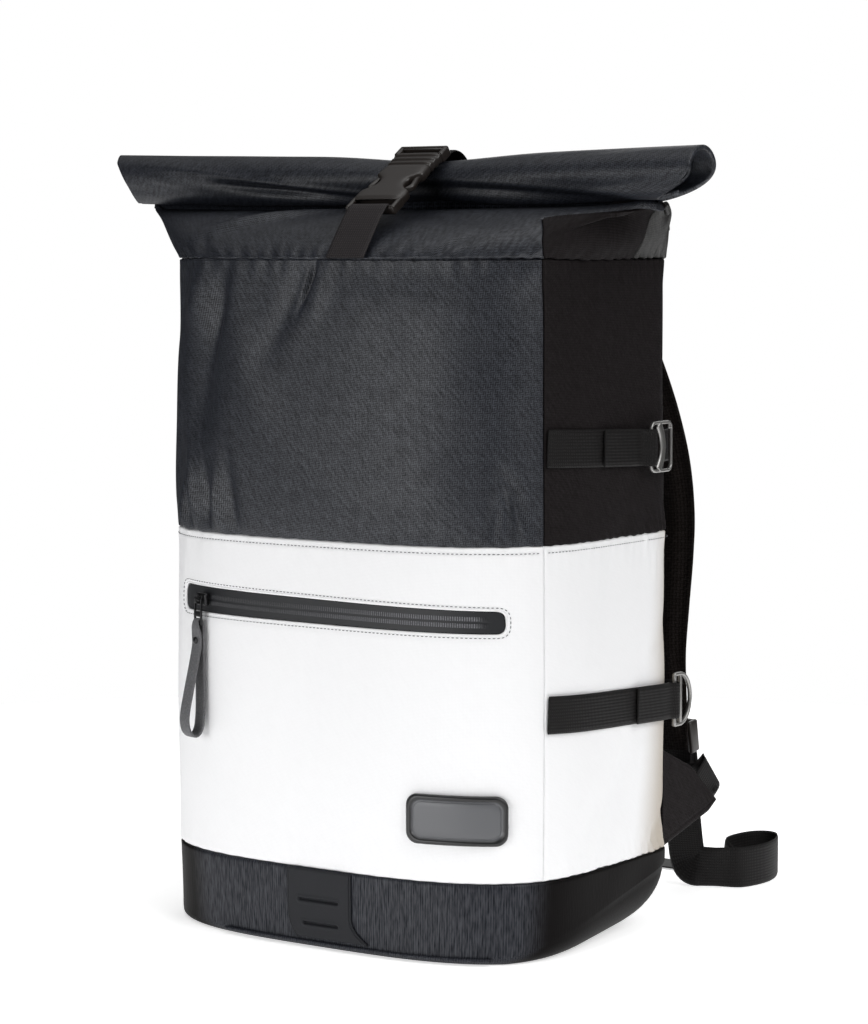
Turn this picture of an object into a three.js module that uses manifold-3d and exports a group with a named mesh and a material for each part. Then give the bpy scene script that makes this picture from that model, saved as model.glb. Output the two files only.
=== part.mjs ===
// A roll-top laptop backpack: a soft boxy body with a black base, a white band and a black upper part,
// closed by a rolled collar under a buckled strap. Millimetres, +Z up, front towards -Y, the wearer's back
// at +Y, origin in the middle of the base's underside.
import * as THREE from 'three';
import { mergeVertices } from 'three/addons/utils/BufferGeometryUtils.js';
import Module from 'manifold-3d';

const { degToRad, lerp, clamp } = THREE.MathUtils;
const V = (x, y, z) => new THREE.Vector3(x, y, z);
const steps = (count, make) => Array.from({ length: count + 1 }, (_, k) => make(k / count));
const arch = (t) => Math.max(Math.sin(Math.PI * t), 0); // rises from 0 to 1 and falls back

// Driving dimensions
const CLOTH = 1.6; // wall thickness of the sewn panels
const SEAM_GAP = 0.3; // gap between two panels at a seam
const BASE_TOP = 54.5;
const BAND_TOP = 275; // upper edge of the white band
const RIM = 461; // seam between the panels and the collar
const FRONT_POWER = 3.2; // how boxy the outline's front half is
const BACK_POWER = 9; // and its back half
const BODY_SECTIONS = [
  { z: 0, halfWidth: 159.0, front: 114.0, back: 98.0 },
  { z: 54, halfWidth: 160.0, front: 115.5, back: 99.0 },
  { z: 165, halfWidth: 160.5, front: 116.5, back: 100.0 },
  { z: 275, halfWidth: 159.6, front: 115.5, back: 100.0 },
  { z: 380, halfWidth: 158.8, front: 114.0, back: 99.5 },
  { z: 470, halfWidth: 158.5, front: 113.0, back: 98.0 },
];
const SEAM_Y = -66; // where the front panels meet the side panels
const REAR_SEAM_ANGLE = degToRad(33); // where the side panels meet the back panel
const EDGE_ROUND = { front: 5, back: 46 }; // round of the base's bottom edge
const THROAT = { x: -5, y: -6, z: 494.4, endRise: 2.6, halfWidth: 211, halfThickness: 3.4 };
const ROLL = {
  x: -1.5, y: -13, z: 513, halfDeep: 23, halfTall: 16.5, cloth: 3, halfWidthTop: 238, halfWidthBottom: 218,
};
const WEBBING = { side: 25, closure: 31, shoulder: 30, thickness: 1.4 };

// Main dents of the slack cloth: middle of each valley along the wall and in height, its direction,
// half length, half width and depth.
const DENTS = [
  { along: -18, z: 432, turn: 62, halfLength: 42, halfWidth: 9, depth: 4.0 },
  { along: -130, z: 318, turn: 84, halfLength: 44, halfWidth: 10, depth: 4.0 },
  { along: -96, z: 300, turn: 70, halfLength: 34, halfWidth: 11, depth: 3.0 },
  { along: 62, z: 428, turn: 118, halfLength: 36, halfWidth: 12, depth: 3.0 },
  { along: 196, z: 420, turn: 80, halfLength: 44, halfWidth: 14, depth: 4.5 },
  { along: 236, z: 248, turn: 62, halfLength: 34, halfWidth: 10, depth: 3.5 },
  { along: 246, z: 100, turn: 66, halfLength: 44, halfWidth: 11, depth: 4.5 },
  { along: 212, z: 84, turn: 58, halfLength: 30, halfWidth: 9, depth: 3.0 },
];

// Solids from triangles, grids, loops and flat outlines

// Closed geometry from a list of triangles: shared corners are merged, slivers dropped, faces turned out.
function solid(triangles) {
  const loose = new THREE.BufferGeometry().setAttribute(
    'position', new THREE.Float32BufferAttribute(triangles.flat().flatMap((p) => [p.x, p.y, p.z]), 3));
  const merged = mergeVertices(loose, 1e-3);
  const kept = [];
  for (let k = 0; k < merged.index.count; k += 3) {
    const [a, b, c] = [0, 1, 2].map((n) => merged.index.getX(k + n));
    if (a !== b && b !== c && c !== a) kept.push([a, b, c]);
  }
  const corner = (n) => new THREE.Vector3().fromBufferAttribute(merged.attributes.position, n);
  const volume = kept.reduce((sum, [a, b, c]) => sum + corner(a).dot(corner(b).cross(corner(c))), 0);
  merged.setIndex((volume < 0 ? kept.map(([a, b, c]) => [a, c, b]) : kept).flat());
  return merged;
}

// A wall between two grids of points [column][row]; a ring joins its last column to its first.
function wallBetween(outer, inner, ring = false) {
  const triangles = [];
  const quad = (a, b, c, d) => triangles.push([a, b, c], [a, c, d]);
  const columns = outer.length, rows = outer[0].length;
  const next = (i) => (i + 1) % columns;
  for (let i = 0; i < columns - (ring ? 0 : 1); i++) {
    for (let j = 0; j < rows - 1; j++) {
      quad(outer[i][j], outer[next(i)][j], outer[next(i)][j + 1], outer[i][j + 1]);
      quad(inner[i][j + 1], inner[next(i)][j + 1], inner[next(i)][j], inner[i][j]);
    }
    quad(inner[i][0], inner[next(i)][0], outer[next(i)][0], outer[i][0]);
    quad(outer[i][rows - 1], outer[next(i)][rows - 1], inner[next(i)][rows - 1], inner[i][rows - 1]);
  }
  if (!ring) for (let j = 0; j < rows - 1; j++) {
    quad(inner[0][j], outer[0][j], outer[0][j + 1], inner[0][j + 1]);
    quad(outer[columns - 1][j], inner[columns - 1][j], inner[columns - 1][j + 1], outer[columns - 1][j + 1]);
  }
  return solid(triangles);
}

// A skin over a row of closed loops with equal counts, closed at both ends by fans round their middles.
function loft(loops, ring = false) {
  const triangles = [], count = loops[0].length, last = loops.length - 1;
  for (let i = 0; i < last + (ring ? 1 : 0); i++) for (let k = 0; k < count; k++) {
    const n = (k + 1) % count, j = (i + 1) % (last + 1);
    triangles.push([loops[i][k], loops[i][n], loops[j][n]], [loops[i][k], loops[j][n], loops[j][k]]);
  }
  if (!ring) for (const [loop, flip] of [[loops[0], true], [loops[last], false]]) {
    const middle = loop.reduce((sum, p) => sum.add(p), V(0, 0, 0)).divideScalar(count);
    loop.forEach((p, k) => {
      const n = loop[(k + 1) % count];
      triangles.push(flip ? [n, p, middle] : [p, n, middle]);
    });
  }
  return solid(triangles);
}

// A flat outline made into a plate, its thickness lying evenly on both sides of the outline's plane.
function plate(shape, thickness, curveSegments = 8) {
  const geometry = new THREE.ExtrudeGeometry(shape, { depth: thickness, bevelEnabled: false, curveSegments });
  return bare(geometry.translate(0, 0, -thickness / 2));
}

// Geometry with only its positions, its shared corners merged.
function bare(geometry) {
  const copy = geometry.clone();
  for (const name of ['normal', 'uv']) copy.deleteAttribute(name);
  return mergeVertices(copy, 1e-3);
}

function roundedRectangle(width, height, corner, path = new THREE.Shape()) {
  const x = width / 2, y = height / 2, c = corner;
  path.moveTo(-x + c, -y).lineTo(x - c, -y).absarc(x - c, -y + c, c, -Math.PI / 2, 0, false);
  path.lineTo(x, y - c).absarc(x - c, y - c, c, 0, Math.PI / 2, false);
  path.lineTo(-x + c, y).absarc(-x + c, y - c, c, Math.PI / 2, Math.PI, false);
  return path.lineTo(-x, -y + c).absarc(-x + c, -y + c, c, Math.PI, 1.5 * Math.PI, false);
}

function outline(points, path = new THREE.Shape()) {
  return path.setFromPoints(points.map(([x, y]) => new THREE.Vector2(x, y)));
}
const hole = (points) => outline(points, new THREE.Path());

// Joining and cutting of closed solids
const wasm = await Module();
wasm.setup();
const toManifold = (geometry) => new wasm.Manifold(new wasm.Mesh({
  numProp: 3,
  vertProperties: new Float32Array(geometry.attributes.position.array),
  triVerts: new Uint32Array(geometry.index.array),
}));
function fromManifold(body) {
  const { vertProperties, triVerts } = body.getMesh();
  const geometry = new THREE.BufferGeometry();
  geometry.setAttribute('position', new THREE.BufferAttribute(vertProperties, 3));
  return geometry.setIndex(new THREE.BufferAttribute(triVerts, 1));
}
const join = (a, b) => fromManifold(toManifold(a).add(toManifold(b)));
const cut = (a, ...tools) => fromManifold(
  tools.reduce((body, g) => body.subtract(toManifold(g)), toManifold(a)));

// The body's wall

function rowAt(rows, key, value) {
  const found = rows.findIndex((row) => row[key] >= value);
  const k = found < 0 ? rows.length - 1 : Math.max(found, 1);
  const [a, b] = [rows[k - 1], rows[k]];
  const t = clamp((value - a[key]) / (b[key] - a[key]), 0, 1);
  return Object.fromEntries(Object.keys(a).map((name) => [name, lerp(a[name], b[name], t)]));
}

// The wall at a polar angle and height, lifted outwards by lift: a rounded box outline whose front half
// bulges more than its back half.
function wallPoint(angle, z, lift = 0) {
  const section = rowAt(BODY_SECTIONS, 'z', z), front = Math.sin(angle) < 0;
  const power = front ? FRONT_POWER : BACK_POWER;
  const across = Math.abs(Math.cos(angle)) / (section.halfWidth + lift);
  const deep = Math.abs(Math.sin(angle)) / ((front ? section.front : section.back) + lift);
  const radius = (across ** power + deep ** power) ** (-1 / power);
  return V(radius * Math.cos(angle), radius * Math.sin(angle), z);
}

// Distance along the wall from the front's middle, positive to the right, tabled on the right half.
const ARC = [{ angle: -Math.PI / 2, along: 0 }];
for (let k = 1, before = wallPoint(-Math.PI / 2, BAND_TOP); k <= 720; k++) {
  const angle = lerp(-Math.PI / 2, Math.PI / 2, k / 720), here = wallPoint(angle, BAND_TOP);
  ARC.push({ angle, along: ARC[k - 1].along + here.distanceTo(before), x: here.x, y: here.y });
  before = here;
}
const HALF_GIRTH = ARC.at(-1).along;
const angleAt = (along) => along < 0 ? -Math.PI - angleAt(-along) : rowAt(ARC, 'along', along).angle;
const onWall = (along, z, lift = 0) => wallPoint(angleAt(along), z, lift);
const alongAtY = (y) => ARC.find((row) => row.y >= y).along;
const alongAtX = (x) => Math.sign(x) * ARC.find((row) => row.x >= Math.abs(x)).along;
const FRONT_SEAM = alongAtY(SEAM_Y);
const REAR_SEAM = ARC.find((row) => row.angle >= REAR_SEAM_ANGLE).along;

// A place on the wall as a matrix: x along the wall, y up, z outwards.
function wallFrame(along, z, lift = 0) {
  const here = onWall(along, z, lift);
  const right = onWall(along + 1, z, lift).sub(onWall(along - 1, z, lift)).normalize();
  const up = V(0, 0, 1);
  return new THREE.Matrix4().makeBasis(right, up, right.clone().cross(up)).setPosition(here);
}

// How deep the dents are at a place of the wall.
function dentAt(along, z) {
  return DENTS.reduce((sum, dent) => {
    const turn = degToRad(dent.turn), dx = along - dent.along, dz = z - dent.z;
    const length = (dx * Math.cos(turn) + dz * Math.sin(turn)) / dent.halfLength;
    const width = (-dx * Math.sin(turn) + dz * Math.cos(turn)) / dent.halfWidth;
    return sum + dent.depth * Math.exp(-(length * length) - width * width);
  }, 0);
}

// A sewn panel of the wall between two places along it and two heights.
function wallPanel({ from, to, bottom, top, columns, rows }) {
  const grid = (lift) => steps(columns, (u) => steps(rows, (v) => {
    const along = lerp(from, to, u), z = lerp(bottom, top, v);
    return onWall(along, z, lift - dentAt(along, z));
  }));
  return wallBetween(grid(0), grid(-CLOTH));
}

// A plate on the wall: loops of its rounded outline, each inset from the edge and lifted off the wall,
// closing along its middle line. slope is its rise per millimetre to the right.
function wallPlate({ along, z, slope = 0, halfLength, halfHeight, corner, rows, columns }) {
  return loft(rows.map(({ inset, lift }) => {
    const a = halfLength - inset, b = halfHeight - inset, c = Math.max(corner - inset, 0);
    const upper = [], lower = [];
    for (let k = 0; k <= columns; k++) {
      const t = a * Math.sin(Math.PI * (k / columns - 0.5)), past = Math.max(Math.abs(t) - (a - c), 0);
      const h = b - c + Math.sqrt(Math.max(c * c - past * past, 0));
      upper.push(onWall(along + t, z + slope * t + h, lift));
      lower.push(onWall(along + t, z + slope * t - h, lift));
    }
    return [...upper, ...lower.reverse()];
  }));
}

// Webbing through a row of places: each has its point p and the direction across the webbing.
function ribbon(places, width, thickness = WEBBING.thickness, ring = false) {
  const count = places.length, outer = [], inner = [];
  places.forEach(({ p, across }, i) => {
    const ahead = places[ring ? (i + 1) % count : Math.min(i + 1, count - 1)].p;
    const behind = places[ring ? (i + count - 1) % count : Math.max(i - 1, 0)].p;
    const tangent = ahead.clone().sub(behind).normalize();
    const side = across.clone().addScaledVector(tangent, -across.dot(tangent)).normalize();
    const face = tangent.clone().cross(side);
    const edge = (u, v) => p.clone()
      .addScaledVector(side, (u * width) / 2)
      .addScaledVector(face, (v * thickness) / 2);
    outer.push([edge(-1, 1), edge(1, 1)]);
    inner.push([edge(-1, -1), edge(1, -1)]);
  });
  return wallBetween(outer, inner, ring);
}

// Materials
const coloured = (color, roughness, metalness = 0) =>
  new THREE.MeshStandardMaterial({ color, roughness, metalness });
const BLACK_CLOTH = coloured('#2b2c30', 0.9);
const WHITE_CLOTH = coloured('#f2f2f3', 0.6);
const BASE_CLOTH = coloured('#26272a', 0.85);
const PADDING = coloured('#1f1d1c', 0.95);
const BLACK_WEBBING = coloured('#252528', 0.9);
const PLASTIC = coloured('#2d2b2a', 0.4);
const RUBBER = coloured('#414345', 0.7);
const LEATHER = coloured('#46464a', 0.6);
const GUNMETAL = coloured('#8f8f90', 0.35, 1);
const ZIP_CLOTH = coloured('#2a2d33', 0.6);

const backpack = new THREE.Group();
function add(name, geometry, material, parent = backpack) {
  const mesh = new THREE.Mesh(geometry, material);
  mesh.name = name;
  parent.add(mesh);
}

// Base: a cup whose bottom edge is tightly rounded at the front and widely at the back
const BASE = { wall: 2, columns: 42, roundRows: 4, roundFromY: -85, roundOverY: 180 };
function edgeRound(angle) {
  const rearwards = clamp((wallPoint(angle, 0).y - BASE.roundFromY) / BASE.roundOverY, 0, 1);
  return lerp(EDGE_ROUND.front, EDGE_ROUND.back, rearwards ** 0.9);
}

// The base's wall at a slope: 0 where the round meets the upright wall, 90 degrees on the flat underside;
// lift moves the place straight off the surface.
function onBase(angle, slope, lift = 0) {
  const round = edgeRound(angle);
  const inwards = round - (round + lift) * Math.cos(slope);
  return wallPoint(angle, 0, -inwards).setZ(round - (round + lift) * Math.sin(slope));
}
function baseGrid(lift) {
  return steps(BASE.columns, (t) => angleAt(lerp(-HALF_GIRTH, HALF_GIRTH, t))).slice(1).map((angle) => {
    const top = wallPoint(angle, BASE_TOP - SEAM_GAP / 2, lift);
    const round = steps(BASE.roundRows, (t) => onBase(angle, (t * Math.PI) / 2, lift));
    const flat = round.at(-1);
    return [top, ...round, V(flat.x * 0.5, flat.y * 0.5, flat.z), V(0, 0, flat.z)];
  });
}
add('base_tub', wallBetween(baseGrid(0), baseGrid(-BASE.wall), true), BASE_CLOTH);

// Piping: a corded welt along the front's bottom edge
const PIPING = { from: -78, to: 132, slope: degToRad(10), radius: 1.3, gap: 0.35 };
const welt = new THREE.CatmullRomCurve3(steps(14, (t) =>
  onBase(angleAt(lerp(PIPING.from, PIPING.to, t)), PIPING.slope, PIPING.radius + PIPING.gap)));
const weltSection = new THREE.Shape().absarc(0, 0, PIPING.radius, 0, 2 * Math.PI, false);
const weltTube = new THREE.ExtrudeGeometry(weltSection, { steps: 22, curveSegments: 3, extrudePath: welt });
add('base_piping', bare(weltTube), BASE_CLOTH);

// Light tab: a patch over the base's front with two slits for a clip-on light
const TAB = { along: 5, halfWidth: 25, top: 53.5, bottom: 7, thickness: 1.6, gap: 0.8, slitTall: 2.6 };
const TAB_SLITS = [{ z: 33, halfLength: 15 }, { z: 17, halfLength: 13 }];
const tabGrid = (lift) => steps(6, (u) => steps(3, (v) =>
  onWall(TAB.along + lerp(-TAB.halfWidth, TAB.halfWidth, u), lerp(TAB.top, TAB.bottom, v), lift)));
const tabSlits = TAB_SLITS.map(({ z, halfLength }) =>
  bare(new THREE.BoxGeometry(2 * halfLength, TAB.slitTall, 16)).applyMatrix4(wallFrame(TAB.along, z)));
add('light_tab', cut(wallBetween(tabGrid(TAB.gap + TAB.thickness), tabGrid(TAB.gap)), ...tabSlits), RUBBER);

// Zip in a slot of the white front: a flat tape with the closed coil as a low ridge along its middle
const ZIP = {
  left: alongAtX(-121), right: alongAtX(134), z: 227.5, slope: -0.012, halfHeight: 7.5, slotGap: 0.4,
};
const zipAt = { along: (ZIP.left + ZIP.right) / 2, z: ZIP.z, slope: ZIP.slope, columns: 14 };
const zipHalf = (ZIP.right - ZIP.left) / 2;
const zipRows = [
  { inset: ZIP.halfHeight, lift: -2.6 }, { inset: 0, lift: -2.6 }, { inset: 0, lift: -1.2 },
  { inset: 4.2, lift: -1.2 }, { inset: 4.9, lift: -0.2 }, { inset: ZIP.halfHeight, lift: -0.2 },
];
const zipShape = { halfLength: zipHalf, halfHeight: ZIP.halfHeight, corner: ZIP.halfHeight, rows: zipRows };
add('zip_tape', wallPlate({ ...zipAt, ...zipShape }), ZIP_CLOTH);
const slotHalf = ZIP.halfHeight + ZIP.slotGap;
const slotRows = [
  { inset: slotHalf, lift: -12 }, { inset: 0, lift: -12 },
  { inset: 0, lift: 8 }, { inset: slotHalf, lift: 8 },
];
const slotShape = {
  halfLength: zipHalf + ZIP.slotGap, halfHeight: slotHalf, corner: slotHalf, rows: slotRows,
};
const slotCutter = wallPlate({ ...zipAt, ...slotShape });

// White band: front panel with the zip's slot, and one panel on each side
const BAND = { bottom: BASE_TOP + SEAM_GAP / 2, top: BAND_TOP - SEAM_GAP / 2 };
const UPPER = { bottom: BAND_TOP + SEAM_GAP / 2, top: RIM - SEAM_GAP / 2 };
const FRONT = { from: -FRONT_SEAM + SEAM_GAP / 2, to: FRONT_SEAM - SEAM_GAP / 2, columns: 24 };
const RIGHT = { from: FRONT_SEAM + SEAM_GAP / 2, to: REAR_SEAM - SEAM_GAP / 2, columns: 10 };
const LEFT = { from: -RIGHT.from, to: -RIGHT.to, columns: 10 };
add('lower_front_panel', cut(wallPanel({ ...FRONT, ...BAND, rows: 4 }), slotCutter), WHITE_CLOTH);
add('lower_side_panel_right', wallPanel({ ...RIGHT, ...BAND, rows: 7 }), WHITE_CLOTH);
add('lower_side_panel_left', wallPanel({ ...LEFT, ...BAND, rows: 4 }), WHITE_CLOTH);

// Black upper part
add('upper_front_panel', wallPanel({ ...FRONT, ...UPPER, rows: 6 }), BLACK_CLOTH);
add('upper_side_panel_right', wallPanel({ ...RIGHT, ...UPPER, rows: 6 }), BLACK_CLOTH);
add('upper_side_panel_left', wallPanel({ ...LEFT, ...UPPER, rows: 3 }), BLACK_CLOTH);

// Padded back panel: foam between two cloths, swelling from its sewn edge
const BACK = {
  from: REAR_SEAM + SEAM_GAP / 2, to: 2 * HALF_GIRTH - REAR_SEAM - SEAM_GAP / 2, foam: 7, puff: 4,
};
const backGrid = (lift) => steps(12, (u) => steps(7, (v) => {
  const past = lerp(BACK.from, BACK.to, u), along = past > HALF_GIRTH ? past - 2 * HALF_GIRTH : past;
  return onWall(along, lerp(BAND.bottom, UPPER.top, v), lift((arch(u) * arch(v)) ** 0.3));
}));
const backOutside = backGrid((swell) => BACK.puff * swell);
const backInside = backGrid((swell) => -CLOTH - BACK.foam * swell);
add('back_panel', wallBetween(backOutside, backInside), PADDING);

// Collar: a cloth tube that flattens from the rim to a wide throat. Its sides run out straight, its front and
// back rise steeply at first and then turn in.
const COLLAR = { columns: 46, rows: 5, turnIn: 1.2, turnInSpread: 0.22, spreadOver: 40 };
function collarPoint(along, rise, lift) {
  const rim = onWall(along, RIM + SEAM_GAP / 2, lift), section = rowAt(BODY_SECTIONS, 'z', RIM);
  const halfWidth = section.halfWidth + lift, outwards = rim.x / halfWidth;
  const upwards = Math.sin((rise * Math.PI) / 2);
  const inwards = rise ** (COLLAR.turnIn - COLLAR.turnInSpread * clamp(rim.y / COLLAR.spreadOver, -1, 1));
  const halfDepth = (rim.y < 0 ? section.front : section.back) + lift;
  const flat = (rim.y * (THROAT.halfThickness + lift)) / halfDepth;
  return V(
    outwards * lerp(halfWidth, THROAT.halfWidth + lift, upwards) + THROAT.x * upwards,
    lerp(rim.y, THROAT.y + flat, inwards),
    lerp(rim.z, THROAT.z + THROAT.endRise * outwards ** 2, upwards));
}
const collarAlong = steps(COLLAR.columns, (t) => lerp(-HALF_GIRTH, HALF_GIRTH, t)).slice(1);
const collarGrid = (lift) =>
  collarAlong.map((along) => steps(COLLAR.rows, (rise) => collarPoint(along, rise, lift)));
add('rolltop_collar', wallBetween(collarGrid(0), collarGrid(-CLOTH), true), BLACK_CLOTH);

// Roll: the collar's two layers rolled forward, one and a half turns, pinched under the closing strap.
// turn is the angle round the roll from the back, size its distance from the roll's middle.
const STRAP_X = 27;
const PINCH = { share: 0.28, reach: 60 };
const SAG = { ends: 3.5, tilt: -1.2 };
const ROLL_PATH = [
  { turn: -72, size: 1.0 }, { turn: -30, size: 1.0 }, { turn: 45, size: 1.03 }, { turn: 90, size: 1.03 },
  { turn: 135, size: 1.02 }, { turn: 175, size: 0.97 }, { turn: 205, size: 0.86 }, { turn: 228, size: 0.94 },
  { turn: 252, size: 0.98 }, { turn: 275, size: 0.84 }, { turn: 310, size: 0.7 }, { turn: 380, size: 0.64 },
  { turn: 450, size: 0.62 }, { turn: 520, size: 0.52 },
];
function rollPoint(across, turn, size, lift) { // across runs from -1 at the left end to 1 at the right end
  const fromStrap = (across * ROLL.halfWidthTop + ROLL.x - STRAP_X) / PINCH.reach;
  const pinch = 1 - PINCH.share * Math.exp(-(fromStrap ** 2));
  const angle = degToRad(turn), sag = SAG.ends * across * across + SAG.tilt * across;
  const y = ROLL.y + (ROLL.halfDeep * size * pinch + lift) * Math.cos(angle);
  const z = ROLL.z + sag + (ROLL.halfTall * size * pinch + lift) * Math.sin(angle);
  const tall = clamp((z - ROLL.z) / ROLL.halfTall / 2 + 0.5, 0, 1);
  return V(ROLL.x + across * lerp(ROLL.halfWidthBottom, ROLL.halfWidthTop, tall), y, z);
}
const rollTurns = steps(
  24, (t) => rowAt(ROLL_PATH, 'turn', lerp(ROLL_PATH[0].turn, ROLL_PATH.at(-1).turn, t)));
const rollGrid = (lift) =>
  steps(11, (u) => rollTurns.map(({ turn, size }) => rollPoint(2 * u - 1, turn, size, lift)));
add('rolltop_roll', wallBetween(rollGrid(ROLL.cloth / 2), rollGrid(-ROLL.cloth / 2)), BLACK_CLOTH);

// Buckle of the closing strap, lying over the roll in the plane x = STRAP_X
const BUCKLE = {
  foot: V(STRAP_X, -87, 492.5), head: V(STRAP_X, -21, 534), width: 39, thickness: 8.5, socket: 53,
};
const buckleLength = BUCKLE.foot.distanceTo(BUCKLE.head);
const buckleAxis = BUCKLE.head.clone().sub(BUCKLE.foot).normalize();
const buckleFrame = new THREE.Matrix4()
  .makeBasis(V(1, 0, 0), buckleAxis, V(1, 0, 0).cross(buckleAxis)).setPosition(BUCKLE.foot);
const onBuckle = (up, out) => V(0, up, out).applyMatrix4(buckleFrame);
const window = (halfWidth, bottom, top) =>
  hole([[-halfWidth, bottom], [halfWidth, bottom], [halfWidth, top], [-halfWidth, top]]);

// Socket: a flat shell with a webbing slot at its foot and a scoop in each side where the plug's arms show
const half = BUCKLE.width / 2;
const socketSide = [[half, 0], [half, 22], [half - 7, 26], [half - 8.5, 32], [half - 7, 38], [half - 1, 42],
  [half - 2, BUCKLE.socket]];
const socketShape = outline([...socketSide, ...socketSide.map(([x, y]) => [-x, y]).reverse()]);
socketShape.holes.push(window(half - 3, 3.5, 9.5));
add('buckle_socket', plate(socketShape, BUCKLE.thickness).applyMatrix4(buckleFrame), PLASTIC);

// Plug: a grip above the socket with a webbing slot in it
const PLUG = { foot: BUCKLE.socket + 0.5, slotBottom: buckleLength - 8.5, slotTop: buckleLength - 3 };
const plugShape = outline([
  [2 - half, PLUG.foot], [half - 2, PLUG.foot], [half, buckleLength], [-half, buckleLength]]);
plugShape.holes.push(window(half - 4, PLUG.slotBottom, PLUG.slotTop));
add('buckle_plug', plate(plugShape, BUCKLE.thickness - 0.5).applyMatrix4(buckleFrame), PLASTIC);

// Closing strap, front: up from the rim seam over the collar and round the socket's bar
const inStrapPlane = ({ y, z }) => ({ p: V(STRAP_X, y, z), across: V(1, 0, 0) });
const strapFront = [
  { y: -115.8, z: RIM + 0.6 },
  ...[0.12, 0.24, 0.36].map((rise) => collarPoint(alongAtX(STRAP_X), rise, 2.2)),
  onBuckle(-8, -3.5), onBuckle(1, -5.6), onBuckle(6.5, -5.6), onBuckle(6.7, 0), onBuckle(6.4, 1.4),
];
add('closure_strap_front', ribbon(strapFront.map(inStrapPlane), WEBBING.closure), BLACK_WEBBING);

// Closing strap, back: from the plug over the roll's back and down to the back seam
const STRAP_BACK = [
  { y: -6, z: 534 }, { y: 5, z: 529 }, { y: 12.5, z: 518 }, { y: 16, z: 507 }, { y: 28, z: 501.5 },
  { y: 55, z: 496.5 }, { y: 80, z: 488.5 }, { y: 97, z: 475 }, { y: 102.5, z: RIM + 2 },
];
const plugWebbing = [
  onBuckle(buckleLength - 5.7, -1.2), onBuckle(buckleLength - 5.5, -5.2), onBuckle(buckleLength + 1, -5.1),
];
const strapBack = [...plugWebbing, ...STRAP_BACK];
add('closure_strap_back', ribbon(strapBack.map(inStrapPlane), WEBBING.closure), BLACK_WEBBING);

// Zip slider: a small plate with a bail standing on it, whose hole takes the pull tab's bar
const SLIDER = {
  along: alongAtX(-95.5), z: 229, lift: 1.9, width: 11, height: 8.6, thickness: 3.6, corner: 2.5,
};
const BAIL = { radius: 3.2, hole: 1.9, width: 1.5, standOff: 2.2 };
const AXIS_OUT = SLIDER.thickness / 2 + BAIL.standOff; // from the plate's middle to the bail's middle
const sliderFrame = wallFrame(SLIDER.along, SLIDER.z, SLIDER.lift);
const bailShape = new THREE.Shape().absarc(0, 0, BAIL.radius, 0, 2 * Math.PI, false);
bailShape.holes.push(new THREE.Path().absarc(0, 0, BAIL.hole, 0, 2 * Math.PI, true));
const bail = plate(bailShape, BAIL.width, 8).rotateY(Math.PI / 2).translate(0, 0, AXIS_OUT);
const sliderPlate = plate(roundedRectangle(SLIDER.width, SLIDER.height, SLIDER.corner), SLIDER.thickness, 3);
add('zip_slider', join(sliderPlate, bail).applyMatrix4(sliderFrame), GUNMETAL);

// Pull tab: a flat link hanging from the bail by its upper bar, with an eye at its foot for the leather
const PULL = {
  half: 4.2, thickness: 1.6, barHalf: 0.65, length: 18, corner: 1.5,
  windowFoot: -8, eyeFoot: -16.3, eyeTop: -11.9,
};
const eyeHalf = PULL.half - 1.4;
const pullShape = outline([
  [-PULL.half, PULL.barHalf], [-PULL.half, PULL.corner - PULL.length],
  [PULL.corner - PULL.half, -PULL.length], [PULL.half - PULL.corner, -PULL.length],
  [PULL.half, PULL.corner - PULL.length], [PULL.half, PULL.barHalf]]);
pullShape.holes.push(
  window(eyeHalf, PULL.windowFoot, -PULL.barHalf), window(eyeHalf, PULL.eyeFoot, PULL.eyeTop));
const pullTab = plate(pullShape, PULL.thickness).translate(0, 0, AXIS_OUT);
add('zip_pull_tab', pullTab.applyMatrix4(sliderFrame), GUNMETAL);

// Leather loop: one strip through the tab's eye, its two legs riveted together, hanging in a long drop shape
const LEATHER_THICK = 1.8, RIVET_UP = -28;
const LOOP_PATH = [
  { out: 0, up: -13.6, width: 5 }, { out: 1.9, up: -14.6, width: 5 }, { out: 2.2, up: -18.6, width: 7.5 },
  { out: 1.3, up: -24, width: 10 }, { out: 1.25, up: -32, width: 10 }, { out: 3.4, up: -45, width: 10 },
  { out: 7.2, up: -66, width: 10 }, { out: 9.6, up: -83, width: 10 }, { out: 8.2, up: -92.5, width: 10 },
  { out: 4.4, up: -96.4, width: 10 }, { out: 0.6, up: -93, width: 10 }, { out: -1.2, up: -83, width: 10 },
  { out: -1.6, up: -66, width: 10 }, { out: -1.5, up: -45, width: 10 }, { out: -1.25, up: -32, width: 10 },
  { out: -1.3, up: -24, width: 10 }, { out: -2.2, up: -18.6, width: 7.5 }, { out: -1.9, up: -14.6, width: 5 },
];
const loopGrid = (face) => LOOP_PATH.map(({ out, up, width }, k) => {
  const ahead = LOOP_PATH[(k + 1) % LOOP_PATH.length], behind = LOOP_PATH.at(k - 1);
  const run = new THREE.Vector2(ahead.out - behind.out, ahead.up - behind.up).normalize();
  const shift = (face * LEATHER_THICK) / 2;
  return [-1, 1].map((side) => V((side * width) / 2, up + shift * run.x, out - shift * run.y + AXIS_OUT));
});
const onRivet = (geometry) => bare(geometry).rotateX(Math.PI / 2).translate(0, RIVET_UP, AXIS_OUT);
const leather = cut(
  wallBetween(loopGrid(1), loopGrid(-1), true), onRivet(new THREE.CylinderGeometry(1.5, 1.5, 12, 10)));
add('zip_pull_loop', leather.applyMatrix4(sliderFrame), LEATHER);

// Rivet: a stud through both legs with a low head on each side
const rivetSide = [[1.1, 2.5], [2.4, 2.5], [2.1, 3.1], [0, 3.4]];
const rivetProfile = [...rivetSide.map(([r, h]) => [r, -h]).reverse(), ...rivetSide];
const rivet = new THREE.LatheGeometry(rivetProfile.map(([r, h]) => new THREE.Vector2(r, h)), 10);
add('zip_pull_rivet', onRivet(rivet).applyMatrix4(sliderFrame), GUNMETAL);

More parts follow.
